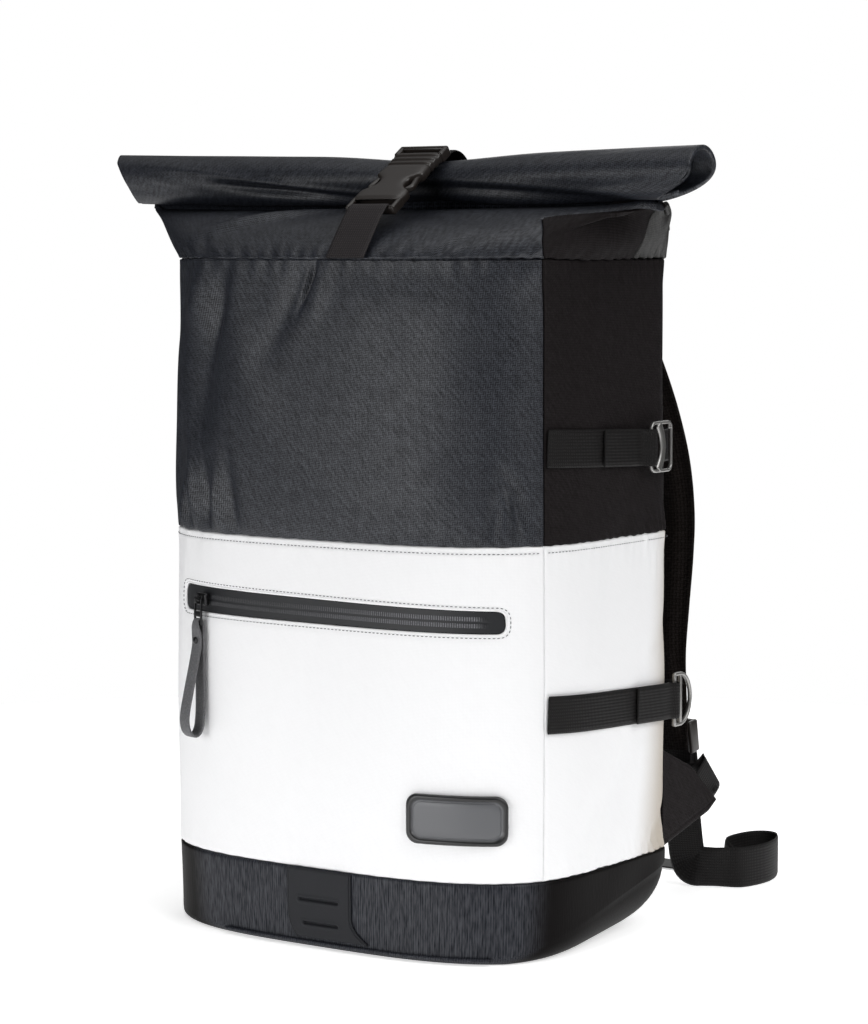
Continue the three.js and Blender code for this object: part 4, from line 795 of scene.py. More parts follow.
def rounded_outline(half_length, half_height, corner, count=40):
    """Rounded rectangle from the right side anticlockwise: four straight sides and four quarter circles."""
    turn = np.linspace(0, math.pi / 2, count // 4)
    points = []
    for quarter, signs in enumerate(((1, 1), (-1, 1), (-1, -1), (1, -1))):
        a = turn + quarter * math.pi / 2
        middle = np.array(signs) * (half_length - corner, half_height - corner)
        points.append(middle + corner * np.stack([np.cos(a), np.sin(a)], -1))
    loop = np.concatenate(points)
    closed = np.r_[loop, loop[:1]]
    run = np.r_[0, np.cumsum(np.linalg.norm(np.diff(closed, axis=0), axis=1))]
    at = np.unique(np.r_[run[:-1], np.linspace(0, run[-1], 4 * count, endpoint=False)])
    return np.stack([np.interp(at, run, closed[:, k]) for k in (0, 1)], -1)


def inset_rings(half_length, half_height, corner, insets):
    """The rounded outline drawn in step by step: each point goes towards the middle line by the inset."""
    rim = rounded_outline(half_length, half_height, corner)
    core_half = half_length - half_height
    core = np.stack([np.clip(rim[:, 0], -core_half, core_half), 0 * rim[:, 1]], -1)
    squeeze = np.minimum(insets / half_height, 1.0)
    shrink = np.stack([(half_length - insets) / half_length, (half_height - insets) / half_height], -1)
    inner = rim[:, None] * shrink[None]
    return inner * (1 - squeeze[None, :, None] ** 3) + core[:, None] * squeeze[None, :, None] ** 3


badge_flat = inset_rings(BADGE_HALF, BADGE_TALL, BADGE_CORNER, BADGE_PROFILE[:, 0])
badge_inset, badge_high = (np.broadcast_to(column, badge_flat.shape[:2]) for column in BADGE_PROFILE.T)
badge_points = wall(BADGE_ALONG + badge_flat[..., 0], BADGE_Z + badge_flat[..., 1], badge_high)
badge_uv = np.stack([badge_inset, badge_flat[..., 0]], -1)
badge = piece("badge_rubber", badge_points, grid_faces(*badge_points.shape[:2], True), badge_uv)


def two_tone_rubber(tree):
    """Rubber whose UV map gives the distance in mm from the edge: a near black rim, a paler grained field."""
    inset = node(tree, "SeparateXYZ", {0: node(tree, "UVMap", uv_map="cloth_mm").outputs[0]}).outputs[0]
    field = ramp(tree, inset, RIM_TO, FIELD_FROM)
    grain = noise(tree, node(tree, "TexCoord").outputs["Object"], 1800, 2)
    return node(tree, "BsdfPrincipled", {
        "Base Color": blend(tree, field, linear("#0d0d0e"), linear("#58595c")), "Roughness": 0.36,
        "Specular IOR Level": 0.6, "Normal": bumps(tree, grain, 0.3, 0.15)})


badge_rubber = surface("badge_moulded_rubber", two_tone_rubber)
fit(badge, badge_rubber, "rubber", "badge")

# Collar: a tube of cloth that flattens from the rim to a wide throat under the roll: a twill front, nylon
# sides that are pushed in, and a flatter cloth behind. A fold runs up the front to the strap, and the rim
# seam puckers.
THROAT_X, THROAT_Y, THROAT_Z, THROAT_END_RISE, THROAT_HALF, THROAT_THICK = -11, -6, 494.4, 2.6, 211, 3.4
TURN_IN, TURN_IN_SPREAD, SPREAD_OVER, LEFT_TAUT = 1.2, 0.22, 40, 0.56
COLLAR_FOLDS = np.array([  # along, rise in percent, turn, half length, half width, depth
    (-150, 10, 78, 12, 4, 1.4), (-128, 8, 100, 12, 3.5, 1.5), (-97, 12, 84, 16, 5, 2.0),
    (96, 12, 70, 16, 5, 1.8), (108, 8, 100, 12, 4, 1.4), (-62, 78, 33, 46, 9, 5.0),
    (-60, 58, 33, 50, 7, -4.6), (70, 60, 165, 60, 12, 2.4), (214, 44, 4, 50, 24, 22.0),
    (-222, 50, 0, 52, 24, 3.0), (236, 84, 4, 66, 9, -5.0), (300, 60, 84, 30, 8, -3.0),
    (314, 60, 96, 34, 6, 3.0), (-300, 66, 96, 30, 7, -3.0), (-314, 60, 84, 30, 6, 2.5)])
GUSSET_SEAM = along_at_y(30)
THROAT_OVERLAP, STRAP_OVERLAP, STRAP_REACH = 4.5, 7, 60
CORNER_LEAN, LEFT_LEAN, LEAN_TO, LIP_FROM, LIP_TO = 77, 60, 0.62, 0.55, 0.88
COLLAR_SLACK, COLLAR_LAP, ROLL_FADE, COLLAR_TALL = 0.6, 2.5, 0.12, 60
STRAP_X = 27.0


def collar_point(along, rise, lift):
    """From the rim to the throat: x goes out and z up by a quarter sine, y goes in by a power of the rise.

    The power is lower at the left, where the cloth is drawn straight.
    """
    rim = wall(along, RIM + SEAM_GAP / 2 + 0 * along, lift)
    half_width, half_front_depth, half_back_depth = through(BODY_SECTIONS, np.array(RIM))
    sideways = rim[..., 0] / (half_width + lift)
    upwards = np.sin(rise * math.pi / 2)
    taut = (TURN_IN_SPREAD * np.clip(rim[..., 1] / SPREAD_OVER, -1, 1)
            + LEFT_TAUT * np.clip(-sideways, 0, 1) ** 3)
    inwards = rise ** (TURN_IN - taut)
    depth = np.where(rim[..., 1] < 0, half_front_depth, half_back_depth) + lift
    throat_y = THROAT_Y + rim[..., 1] * (THROAT_THICK + lift) / depth
    return np.stack([
        sideways * (half_width + lift + (THROAT_HALF - half_width) * upwards) + THROAT_X * upwards,
        rim[..., 1] + (throat_y - rim[..., 1]) * inwards,
        rim[..., 2] + (THROAT_Z + THROAT_END_RISE * sideways ** 2 - rim[..., 2]) * upwards], -1)


def displaced(points, amount):
    """Moves a grid's points along its own normal, columns crossed with rows, by an amount in mm."""
    normal = np.cross(np.gradient(points, axis=0), np.gradient(points, axis=1))
    normal /= np.maximum(np.linalg.norm(normal, axis=-1, keepdims=True), 1e-9)
    return points + normal * np.asarray(amount)[..., None]


def collar_piece(name, start, stop):
    """A piece of the collar between two seams, each a function of the rise; its top runs into the roll."""
    width = stop(0) - start(0) - SEAM_GAP
    share = edge_steps(0, width, 1.9) / width
    rise = np.r_[0, 0, 0.006, 0.015, 0.03, np.linspace(0.05, 1, 56)]
    u, r = np.meshgrid(share, rise, indexing="ij")
    low, high = start(r) + SEAM_GAP / 2, stop(r) - SEAM_GAP / 2
    a = low + (high - low) * u
    to_edge = np.minimum(np.minimum(a - low, high - a), r * 70)
    fade = np.clip((1 - r) / ROLL_FADE, 0, 1)
    wrapped = (a + HALF_GIRTH) % (2 * HALF_GIRTH) - HALF_GIRTH
    waves = COLLAR_SLACK * slack_cloth(wrapped, r * 90) * np.sin(math.pi * r)
    waves = waves + puckers(wrapped, r * COLLAR_TALL, 0, 9, 0.5, 12)
    amount = fade * (waves - fold_depth(wrapped, r * 100, COLLAR_FOLDS)) + edge_turn(to_edge)
    amount[[0, -1], :] -= COLLAR_LAP
    amount[:, 0] -= LAP_IN
    # Lines that lie on each other are set a hair apart, so that every point has a normal.
    parted_a = a + 0.001 * np.arange(len(share))[:, None]
    parted_r = np.maximum(r, 0.0002 * np.arange(len(rise)))
    points = displaced(collar_point(parted_a, parted_r, 0.0), amount)
    points[:, 0, 2] -= LAP_OUT
    near_strap = np.exp(-((points[:, -1:, 0] - STRAP_X) / STRAP_REACH) ** 2)
    overlap = THROAT_OVERLAP + STRAP_OVERLAP * near_strap
    carried = points[:, -1:] + np.array((0, 0, 1.0)) * overlap[..., None]
    points = np.concatenate([points, carried], 1)
    uv = np.stack([np.c_[a, a[:, -1]], RIM + COLLAR_TALL * np.c_[r, r[:, -1] + 0.08]], -1)
    return thick(piece(name, points, grid_faces(*points.shape[:2]), uv, closed=False), CLOTH)


def corner_seam(rise):
    """The right corner's seam: upright from the rim, then back along a lip under the roll to the gusset."""
    swing = np.clip((rise - LIP_FROM) / (LIP_TO - LIP_FROM), 0, 1)
    upright = FRONT_SEAM - CORNER_LEAN * np.minimum(rise, LEAN_TO)
    return np.minimum(upright + (GUSSET_SEAM - upright) * swing ** 2 * (3 - 2 * swing), GUSSET_SEAM - 2)


def left_seam(rise):
    """The left corner's seam, which leans towards the back."""
    return -FRONT_SEAM - LEFT_LEAN * rise


def gusset_seam(rise):
    """The right side's seam with the back, upright."""
    return GUSSET_SEAM + 0 * rise


def left_gusset_seam(rise):
    """The left side's seam with the back, reached from the front."""
    return -gusset_seam(rise)


def far_gusset_seam(rise):
    """The left side's seam with the back, reached from the right round the back."""
    return 2 * HALF_GIRTH - gusset_seam(rise)


fit(collar_piece("collar_front_cloth", left_seam, corner_seam), front_twill, "black_cloth", "rolltop_collar")
fit(collar_piece("collar_side_cloth_right", corner_seam, gusset_seam), side_nylon, "black_cloth")
fit(collar_piece("collar_side_cloth_left", left_gusset_seam, left_seam), side_nylon, "black_cloth")
fit(collar_piece("collar_back_cloth", gusset_seam, far_gusset_seam), gusset_cloth, "black_cloth")

# Roll: the collar's two layers rolled forward one and a half turns, pinched under the closing strap. Long
# soft valleys run along its front. Both ends slant: the left is shorter in front, the right longer.
ROLL_X, ROLL_Y, ROLL_Z, ROLL_DEEP, ROLL_TALL, ROLL_CLOTH = -1.5, -13.0, 513.0, 23.0, 16.5, 3.0
ROLL_HALF_TOP, ROLL_HALF_BOTTOM, ROLL_MM_PER_DEGREE = 238.0, 218.0, 0.36
PINCH, PINCH_REACH = 0.28, 60.0
SAG_ENDS, SAG_TILT = 3.5, -1.2
ROLL_COLUMNS, ROLL_ROWS, ROLL_SLACK = 280, 176, 0.25
LEFT_SLANT, LEFT_LONGER = 0.62, 9.0
RIGHT_SLANT, RIGHT_CUT, INNER_SHORTER, INNER_FROM = 0.13, 38.0, 14.0, 300
ROLL_PATH = np.array([  # turn round the roll from the back, distance from its middle
    (-72, 1.0), (-30, 1.0), (45, 1.03), (90, 1.03), (135, 1.02), (175, 0.97), (205, 0.86), (228, 0.94),
    (252, 0.98), (275, 0.84), (310, 0.7), (380, 0.64), (450, 0.62), (520, 0.52)])
ROLL_FOLDS = np.array([  # place across in mm, turn round the roll, direction, half length, half width, depth
    (-92, 206, 20, 84, 13, 5.4), (-96, 185, 20, 84, 8, -2.2), (126, 222, 17, 90, 16, 4.4),
    (120, 198, 17, 90, 10, -1.6), (-180, 120, 20, 40, 12, 0.8), (160, 120, -16, 44, 14, 0.8),
    (60, 190, 60, 20, 6, 0.9), (-6, 190, 120, 20, 6, 0.9), (205, 196, -24, 26, 8, 0.9),
    (-205, 192, 30, 22, 8, 0.8)])


def roll_point(across, turn, lift):
    """A flattened spiral: the distance from the middle follows the turn; the ends lean in at the bottom."""
    size = through(ROLL_PATH, turn)[..., 0]
    pinch = 1 - PINCH * np.exp(-((across * ROLL_HALF_TOP + ROLL_X - STRAP_X) / PINCH_REACH) ** 2)
    angle = np.radians(turn)
    y = ROLL_Y + (ROLL_DEEP * size * pinch + lift) * np.cos(angle)
    z = (ROLL_Z + SAG_ENDS * across ** 2 + SAG_TILT * across
         + (ROLL_TALL * size * pinch + lift) * np.sin(angle))
    tall = np.clip((z - ROLL_Z) / ROLL_TALL / 2 + 0.5, 0, 1)
    left = LEFT_SLANT * (ROLL_Y - y) - LEFT_LONGER
    right = (RIGHT_SLANT * (ROLL_Y - y) + (ROLL_HALF_TOP - ROLL_HALF_BOTTOM) * (1 - tall)
             - RIGHT_CUT * (1 - tall) ** 3 - INNER_SHORTER * (turn > INNER_FROM))
    slant = np.clip(-across, 0, 1) ** 3 * left + np.clip(across, 0, 1) ** 3 * right
    half = ROLL_HALF_BOTTOM + (ROLL_HALF_TOP - ROLL_HALF_BOTTOM) * tall
    return np.stack([ROLL_X + across * half + slant, y, z], -1)


roll_turns = np.linspace(ROLL_PATH[0, 0], ROLL_PATH[-1, 0], ROLL_ROWS)
roll_across, roll_turn = np.meshgrid(np.linspace(-1, 1, ROLL_COLUMNS), roll_turns, indexing="ij")
roll_valleys = fold_depth(roll_across * ROLL_HALF_TOP, roll_turn, ROLL_FOLDS) * (roll_turn < INNER_FROM)
roll_waves = ROLL_SLACK * slack_cloth(roll_across * 230, roll_turn * 0.5)
roll_points = roll_point(roll_across, roll_turn, ROLL_CLOTH / 2 - roll_valleys + roll_waves)
roll_uv = np.stack([roll_across * ROLL_HALF_TOP, roll_turn * ROLL_MM_PER_DEGREE], -1)
roll = piece("roll_cloth", roll_points, grid_faces(*roll_across.shape)[:, ::-1], roll_uv, closed=False)
fit(thick(roll, ROLL_CLOTH), front_twill, "black_cloth", "rolltop_roll")

# Closing strap: ribbed polyester webbing from the rim seam over the collar and round the buckle's bar, and
# from the buckle's plug over the roll's back down to the back seam.
WEBBING_THICK = 1.4
CLOSURE_WIDTH, SIDE_WIDTH, SHOULDER_WIDTH = 31.0, 25.0, 30.0
BUCKLE_FOOT, BUCKLE_HEAD = np.array((STRAP_X, -87, 492.5)), np.array((STRAP_X, -21, 534.0))
buckle_length = np.linalg.norm(BUCKLE_HEAD - BUCKLE_FOOT)
buckle_up = (BUCKLE_HEAD - BUCKLE_FOOT) / buckle_length
buckle_out = np.cross((1.0, 0, 0), buckle_up)


def on_buckle(up, out, x=0.0):
    """A place on the buckle: up along it from its foot, out from the bag, and across it."""
    return BUCKLE_FOOT + np.array((x, 0, 0)) + buckle_up * up + buckle_out * out


def smooth_path(points, step=1.2, ring=False):
    """Catmull-Rom curve through points, at even steps of length."""
    points = np.asarray(points, float)
    if ring:
        points = np.concatenate([points, points[:1]])
    run = np.r_[0, np.cumsum(np.linalg.norm(np.diff(points[:, :3], axis=0), axis=1))]
    table = np.column_stack([run, points])
    if ring:
        table = np.concatenate([table[-3:-1] - np.r_[run[-1], np.zeros(points.shape[1])], table,
                                table[1:3] + np.r_[run[-1], np.zeros(points.shape[1])]])
    fine = through(table, np.linspace(0, run[-1], 2000))
    fine_run = np.r_[0, np.cumsum(np.linalg.norm(np.diff(fine[:, :3], axis=0), axis=1))]
    at = np.linspace(0, fine_run[-1], max(int(fine_run[-1] / step), 8), endpoint=not ring)
    return np.stack([np.interp(at, fine_run, fine[:, k]) for k in range(points.shape[1])], -1), at


def webbing_profile(width, thickness=WEBBING_THICK):
    """A flat woven band's section: rounded edges, a little thicker at its selvedges."""
    across = np.linspace(-1, 1, 17)
    half = thickness / 2 * np.sqrt(1 - np.abs(across) ** 12) * (0.86 + 0.14 * np.abs(across) ** 6)
    top = np.stack([across * width / 2, half], -1)
    return np.concatenate([top, (top * (1, -1))[::-1][1:-1]])


def webbing(name, places, width):
    """Webbing along places of point and direction across; its UV map runs along and across it in mm."""
    path, run = smooth_path(places)
    profile = webbing_profile(width)
    uv = np.stack(np.broadcast_arrays(run[:, None], profile[None, :, 0]), -1)
    return swept(name, path[:, :3], path[:, 3:], profile, uv=uv)


def ribbed(name, colour, light_colour, rib, depth, roughness):
    """Webbing: ribs across it, crossed by finer lines along it, on its UV map in mm."""
    def build(tree):
        place = node(tree, "UVMap", uv_map="cloth_mm").outputs[0]
        weave = maths(tree, "MULTIPLY", bands(tree, place, rib, "X"), bands(tree, place, 1.25 * rib, "Y"))
        return node(tree, "BsdfPrincipled", {
            "Base Color": blend(tree, weave, linear(colour), linear(light_colour)), "Roughness": roughness,
            "Normal": bumps(tree, weave, 0.7, depth), "Specular IOR Level": 0.2, "Sheen Weight": 0.01})
    return surface(name, build)


def in_strap_plane(rows):
    """Places of the closing strap, which lies in one upright plane, from rows of y and z."""
    return [(STRAP_X, y, z, 1, 0, 0) for y, z in rows]


# Webbing: matt black, its ribs just seen. The closing strap's is thinner, and greyer.
black_webbing = ribbed("black_polyester_webbing", "#0c0a0a", "#161414", 1.7, 0.4, 0.58)
closing_webbing = ribbed("greyer_black_webbing", "#1d1a1b", "#3a3637", 1.4, 0.2, 0.6)
STRAP_FRONT = [(-115.8, RIM + 0.6), (-107.5, 473.0), (-98.5, 485.0)]  # y, z
STRAP_BACK = [(-6, 534), (5, 529), (12.5, 518), (16, 507), (28, 501.5), (55, 496.5), (80, 488.5), (97, 475),
              (102.5, RIM + 2)]
ROUND_FOOT = [(-6, 2.2), (-2.0, 3.3), (1.4, 3.5), (4.0, 2.2), (4.9, -0.4), (4.6, -3.0)]  # up the buckle, out
ROUND_HEAD = [(-5.7, -1.2), (-5.5, -5.2), (1, -5.1)]
strap_front_rows = [*STRAP_FRONT, *[on_buckle(u, o)[1:] for u, o in ROUND_FOOT]]
strap_front = webbing("closing_strap_front_webbing", in_strap_plane(strap_front_rows), CLOSURE_WIDTH)
fit(strap_front, closing_webbing, "webbing", "closure_strap_front")
strap_back_rows = [*[on_buckle(buckle_length + u, o)[1:] for u, o in ROUND_HEAD], *STRAP_BACK]
strap_back = webbing("closing_strap_back_webbing", in_strap_plane(strap_back_rows), CLOSURE_WIDTH)
fit(strap_back, black_webbing, "webbing", "closure_strap_back")

# Buckle: a side-release buckle moulded in acetal. The socket is a crowned shell with a webbing bar at its
# foot and a scoop in each side; the plug has a ribbed grip, a webbing bar and two arms seen in the scoops.
BUCKLE_HALF, BUCKLE_THICK, SOCKET_FOOT, SOCKET_TOP, GRIP_RIB = 19.5, 8.5, 9.5, 53.0, 5.2
CROWN_FROM, CROWN_OVER, THIN_BY, THIN_FROM, THIN_OVER = 49.5, 8, 0.25, 13, 4
GRIP_HALF, GRIP_DEEP = 3.2, 0.95
SOCKET_SIDE = np.array([  # up the buckle, half width
    (9.5, 19.5), (14, 19.5), (21, 19.2), (24.5, 15), (28, 11.8), (32, 11.0), (36, 11.8), (39.5, 15.5),
    (42, 18.3), (47, 18.2), (53, 17.5)])
SOCKET_MOUTH = [(20.0, 17.0, 2.6), (10.0, 17.6, 2.8)]  # the hollow: up, half width, half thickness
PLUG_ARM = [(52, 14.5), (44, 14.6), (38, 15.2), (33, 16.4), (29, 16.6), (25, 14.0)]  # up the buckle, sideways
# Acetal: brown black with clear, soft highlights.
acetal = grained("moulded_acetal", "#231e1b", 0.33, 1500, 2, 0.2, 0.1, {"IOR": 1.5})


def block(middle, half, axes, radius):
    """A box with rounded edges: corner points pushed out by a small sphere, on a grid of its two angles."""
    quarter = np.linspace(0, math.pi / 2, 5)
    turn = np.concatenate([quarter + k * math.pi / 2 for k in range(4)])
    sx = np.repeat((1, -1, -1, 1), 5)
    sy = np.repeat((1, 1, -1, -1), 5)
    tilt = np.concatenate([-quarter[::-1], quarter])
    sz = np.repeat((-1, 1), 5)
    inner = np.asarray(half) - radius
    x = sx[None] * inner[0] + radius * np.cos(tilt)[:, None] * np.cos(turn)
    y = sy[None] * inner[1] + radius * np.cos(tilt)[:, None] * np.sin(turn)
    z = (sz * inner[2] + radius * np.sin(tilt))[:, None] + 0 * x
    local = np.stack([x, y, z], -1)
    ends = [np.zeros((1, 20, 3)) + (0, 0, local[k, 0, 2]) for k in (0, -1)]
    local = np.concatenate([ends[0], local, ends[1]])
    points = np.asarray(middle) + local @ np.asarray(axes, float)
    return points.reshape(-1, 3), grid_faces(local.shape[0], 20, False, True)


def lofted(sections):
    """A body through closed sections of equal counts, its ends drawn in to their middles."""
    sections = np.asarray(sections)
    ends = [sections[[k]].mean(1, keepdims=True) + 0 * sections[[k]] for k in (0, -1)]
    grid = np.concatenate([ends[0], sections, ends[1]])
    return grid.reshape(-1, 3), grid_faces(len(grid), grid.shape[1], False, True)


def together(parts):
    """Several bodies as one list of points and faces."""
    shift = np.cumsum([0] + [len(points) for points, _ in parts[:-1]])
    return np.concatenate([p for p, _ in parts]), np.concatenate([f + s for (_, f), s in zip(parts, shift)])


buckle_axes = np.stack([(1.0, 0, 0), buckle_up, buckle_out])
socket_up = np.linspace(SOCKET_FOOT, SOCKET_TOP, 60)
socket_half = through(SOCKET_SIDE, socket_up)[:, 0]
crowned = np.sqrt(1 - np.clip((socket_up - CROWN_FROM) / CROWN_OVER, 0, 1) ** 2)
thinned = 1 - THIN_BY * np.clip((THIN_FROM - socket_up) / THIN_OVER, 0, 1)
socket_rows = [*SOCKET_MOUTH, *zip(socket_up, socket_half, BUCKLE_THICK / 2 * crowned * thinned)]
socket_sections = [on_buckle(u, 0) + ellipse(h, t, 40, 5.0) @ buckle_axes[[0, 2]] for u, h, t in socket_rows]
socket_parts = [lofted(socket_sections),
                block(on_buckle(1.8, -0.4), (BUCKLE_HALF, 1.9, 3.2), buckle_axes, 1.5),
                *[block(on_buckle(6.5, -0.2, s * 18), (1.6, 6.5, 3.4), buckle_axes, 1.3) for s in (-1, 1)]]
socket = piece("buckle_socket_acetal", *together(socket_parts))
fit(socket, acetal, "buckle_plastic", "buckle_socket")
plug_up = np.linspace(SOCKET_TOP + 0.5, buckle_length - 8.5, 60)
plug_half = np.interp(plug_up, (SOCKET_TOP, buckle_length), (17.3, BUCKLE_HALF))
grip_ribs = 0.5 - 0.5 * np.cos(2 * math.pi * (plug_up - SOCKET_TOP - 0.5) / GRIP_RIB)
plug_thick = GRIP_HALF + GRIP_DEEP * grip_ribs
plug_rows = zip(plug_up, plug_half, plug_thick)
plug_sections = [on_buckle(u, 0) + ellipse(h, t, 40, 6.0) @ buckle_axes[[0, 2]] for u, h, t in plug_rows]
plug_parts = [lofted(plug_sections),
              block(on_buckle(buckle_length - 1.6, 0), (BUCKLE_HALF, 1.8, 3.9), buckle_axes, 1.6)]
for s in (-1, 1):
    plug_parts.append(block(on_buckle(buckle_length - 5.5, 0, s * 17.6), (1.9, 5.4, 3.8), buckle_axes, 1.4))
for s in (-1, 1):
    arm, _ = smooth_path([on_buckle(up, 0, s * sideways) for up, sideways in PLUG_ARM])
    plug_parts.append(lofted(sweep(arm, np.tile(buckle_out, (len(arm), 1)), ellipse(2.2, 1.7, 14, 3.0))))
plug = piece("buckle_plug_acetal", *together(plug_parts))
fit(plug, acetal, "buckle_plastic", "buckle_plug")

# Zip slider and pull: a nickel-plated slider with a bail, a flat link through the bail, a strip of grey
# leather folded through the link's eye into a long drop, and a rivet through its two legs. Link, leather and
# rivet swing together.
SLIDER_ALONG, SLIDER_Z, SLIDER_LIFT, AXIS_OUT = along_at_x(-95.5), 229.0, 1.9, 4.0
BAIL_RADIUS, LEATHER_THICK, LEATHER_WIDE, RIVET_UP = 2.55, 1.8, 10, -28.0
LINK_BARS = [  # place across, up and out; half sizes
    ((0, 0, 0), (4.2, 0.65, 0.75)), ((0, -9.9, 0), (4.0, 1.9, 0.8)), ((0, -17.2, 0), (3.6, 0.85, 0.8)),
    ((-3.5, -8.6, 0), (0.7, 9.2, 0.8)), ((3.5, -8.6, 0), (0.7, 9.2, 0.8))]
LEATHER_PATH = np.array([  # out from the wall, up, width
    (0, -13.6, 5), (1.9, -14.6, 5), (2.2, -18.6, 7.5), (1.3, -24, 10), (1.25, -32, 10), (4.0, -45, 10),
    (8.6, -64, 10), (11.8, -80, 10), (10.4, -89.5, 10), (5.4, -93.6, 10), (0.6, -89.8, 10), (-1.2, -80, 10),
    (-1.6, -66, 10), (-1.5, -45, 10), (-1.25, -32, 10), (-1.3, -24, 10), (-2.2, -18.6, 7.5),
    (-1.9, -14.6, 5)])
RIVET_PROFILE = np.array([  # radius, out
    (0.0, -3.5), (1.4, -3.4), (2.1, -3.1), (2.4, -2.6), (2.3, -2.4), (1.1, -2.3), (1.1, 2.3), (2.3, 2.4),
    (2.4, 2.6), (2.1, 3.1), (1.4, 3.4), (0.0, 3.5)])
slider_place, _ = on_wall_line(np.array([SLIDER_ALONG]), np.array([SLIDER_Z]), SLIDER_LIFT)
slider_beside = wall(SLIDER_ALONG + np.array((-1, 1)), np.full(2, SLIDER_Z), SLIDER_LIFT)
slider_right = (slider_beside[1] - slider_beside[0]) / np.linalg.norm(slider_beside[1] - slider_beside[0])
slider_out = np.cross(slider_right, (0, 0, 1.0))
slider_axes = np.stack([slider_right, (0, 0, 1.0), slider_out])


def placed(origin, axes, *coordinates):
    """Points at coordinates along three axes from an origin."""
    return origin + np.stack(np.broadcast_arrays(*coordinates), -1) @ axes


def on_slider(x, up, out):
    """A place on the slider: across it, up the wall and out from it."""
    return placed(slider_place[0], slider_axes, x, up, out)


def plated(name, colour, smoothest, roughest):
    """Nickel plate: a metal whose shine is clouded here and there, as plate is that has been handled."""
    def build(tree):
        cloud = noise(tree, node(tree, "TexCoord").outputs["Object"], 300, 4)
        return node(tree, "BsdfPrincipled", {"Base Color": linear(colour), "Metallic": 1.0,
                                             "Roughness": ramp(tree, cloud, 0.0, 1.0, smoothest, roughest)})
    return surface(name, build)


def pebbled_leather(tree):
    """Split leather: small pebbles, paler towards their edges, with a soft shine."""
    place = node(tree, "TexCoord").outputs["Object"]
    pebble = node(tree, "TexVoronoi", {"Vector": place, "Scale": 900}).outputs["Distance"]
    return node(tree, "BsdfPrincipled", {
        "Base Color": blend(tree, pebble, linear("#48484a"), linear("#666668")), "Roughness": 0.58,
        "Specular IOR Level": 0.4, "Normal": bumps(tree, pebble, 0.4, 0.25)})


# Bright grey plate on the strap fittings, and near black plate on the zip.
dark_nickel = plated("dark_nickel_plate", "#a3a2a0", 0.34, 0.5)
black_nickel = plated("black_nickel_plate", "#3a3a3b", 0.28, 0.46)
grey_leather = surface("grey_split_leather", pebbled_leather)
bail_turn = np.linspace(0, 2 * math.pi, 36, endpoint=False)
bail_path = on_slider(0, BAIL_RADIUS * np.cos(bail_turn), AXIS_OUT + BAIL_RADIUS * np.sin(bail_turn))
bail_grid = sweep(bail_path, np.tile(slider_right, (len(bail_path), 1)), ellipse(0.75, 0.62, 10), True)
slider_parts = [block(on_slider(0, 0, 0), (5.5, 4.3, 1.8), slider_axes, 1.3),
                block(on_slider(0, -0.6, 1.7), (2.0, 3.2, 0.7), slider_axes, 0.5),
                (bail_grid.reshape(-1, 3), grid_faces(*bail_grid.shape[:2], True, True))]
slider = piece("zip_slider_metal", *together(slider_parts))
fit(slider, black_nickel, "gunmetal", "zip_slider")
link_parts = [block(on_slider(x, up, AXIS_OUT + out), half, slider_axes, 0.45)
              for (x, up, out), half in LINK_BARS]
link = piece("zip_pull_link", *together(link_parts))
fit(link, black_nickel, "gunmetal", "zip_pull_tab", body="zip_pull")
leather_line = on_slider(0, LEATHER_PATH[:, 1], AXIS_OUT + LEATHER_PATH[:, 0])
leather_path, leather_run = smooth_path(np.column_stack([leather_line, LEATHER_PATH[:, 2]]), 0.9, ring=True)
leather_section = ellipse(0.5, LEATHER_THICK / 2, 28, 6.0)
leather_widths = np.stack([leather_path[:, 3], np.ones(len(leather_path))], -1)
leather_profile = leather_section[None] * leather_widths[:, None]
leather_across = leather_section[None, :, 0] * LEATHER_WIDE
leather_uv = np.stack(np.broadcast_arrays(leather_run[:, None], leather_across), -1)
leather = swept("zip_pull_leather", leather_path[:, :3], np.tile(slider_right, (len(leather_path), 1)),
                leather_profile, True, leather_uv)
fit(leather, grey_leather, "leather", "zip_pull_loop", body="zip_pull")
rivet_turn = np.linspace(0, 2 * math.pi, 24, endpoint=False)[:, None]
rivet_radius, rivet_out = RIVET_PROFILE.T
rivet_points = on_slider(rivet_radius * np.cos(rivet_turn), RIVET_UP + rivet_radius * np.sin(rivet_turn),
                         AXIS_OUT + rivet_out)
rivet = piece("zip_pull_rivet_metal", rivet_points, grid_faces(*rivet_points.shape[:2], True))
fit(rivet, black_nickel, "gunmetal", "zip_pull_rivet", body="zip_pull")

# Side straps: webbing sewn into the front seam, round the bar of a metal fitting and back onto itself. The
# upper fitting is a hook with a bowed bar, the lower one a D ring. A tab from the back seam holds each.
SIDE_STRAPS = [  # name, z at the front, z at the rear, bar x, bar y, end of the fold y
    ("upper", 338.5, 334.0, 165.2, 46.0, -11.0), ("lower", 164.5, 157.0, 161.2, 86.0, 30.0)]
STRAP_UNDER, STRAP_OVER, ANCHOR_WIDTH = 1.7, 3.9, 22.0
FOLD_PATH = [  # rearwards, outwards
    (-3, -3.2), (0, -3.5), (2.5, -2.5), (3.5, 0), (2.5, 2.5), (0, 3.5), (-3, 3.2)]
ANCHORS = {  # polar angle, distance off the wall
    "upper": [(23, 1.2), (27, 1.5), (30, 2.4), (33, 2.8), (37, 3.6), (44, 4.2)],
    "lower": [(31.5, 7.8), (34, 8.4), (37, 8.0), (41, 6.4), (47, 4.2)]}
HOOK_HALF_LONG, HOOK_HALF_TALL, HOOK_CORNER, HOOK_MIDDLE = 13.3, 16.3, 4.5, 12.4
HOOK_BOW_HALF, HOOK_BOW_AT, HOOK_BOW_DEEP = 15.6, 8.2, 6.2
RING_SIDE, RING_HALF, RING_BOW = 7.2, 17.6, 14.4


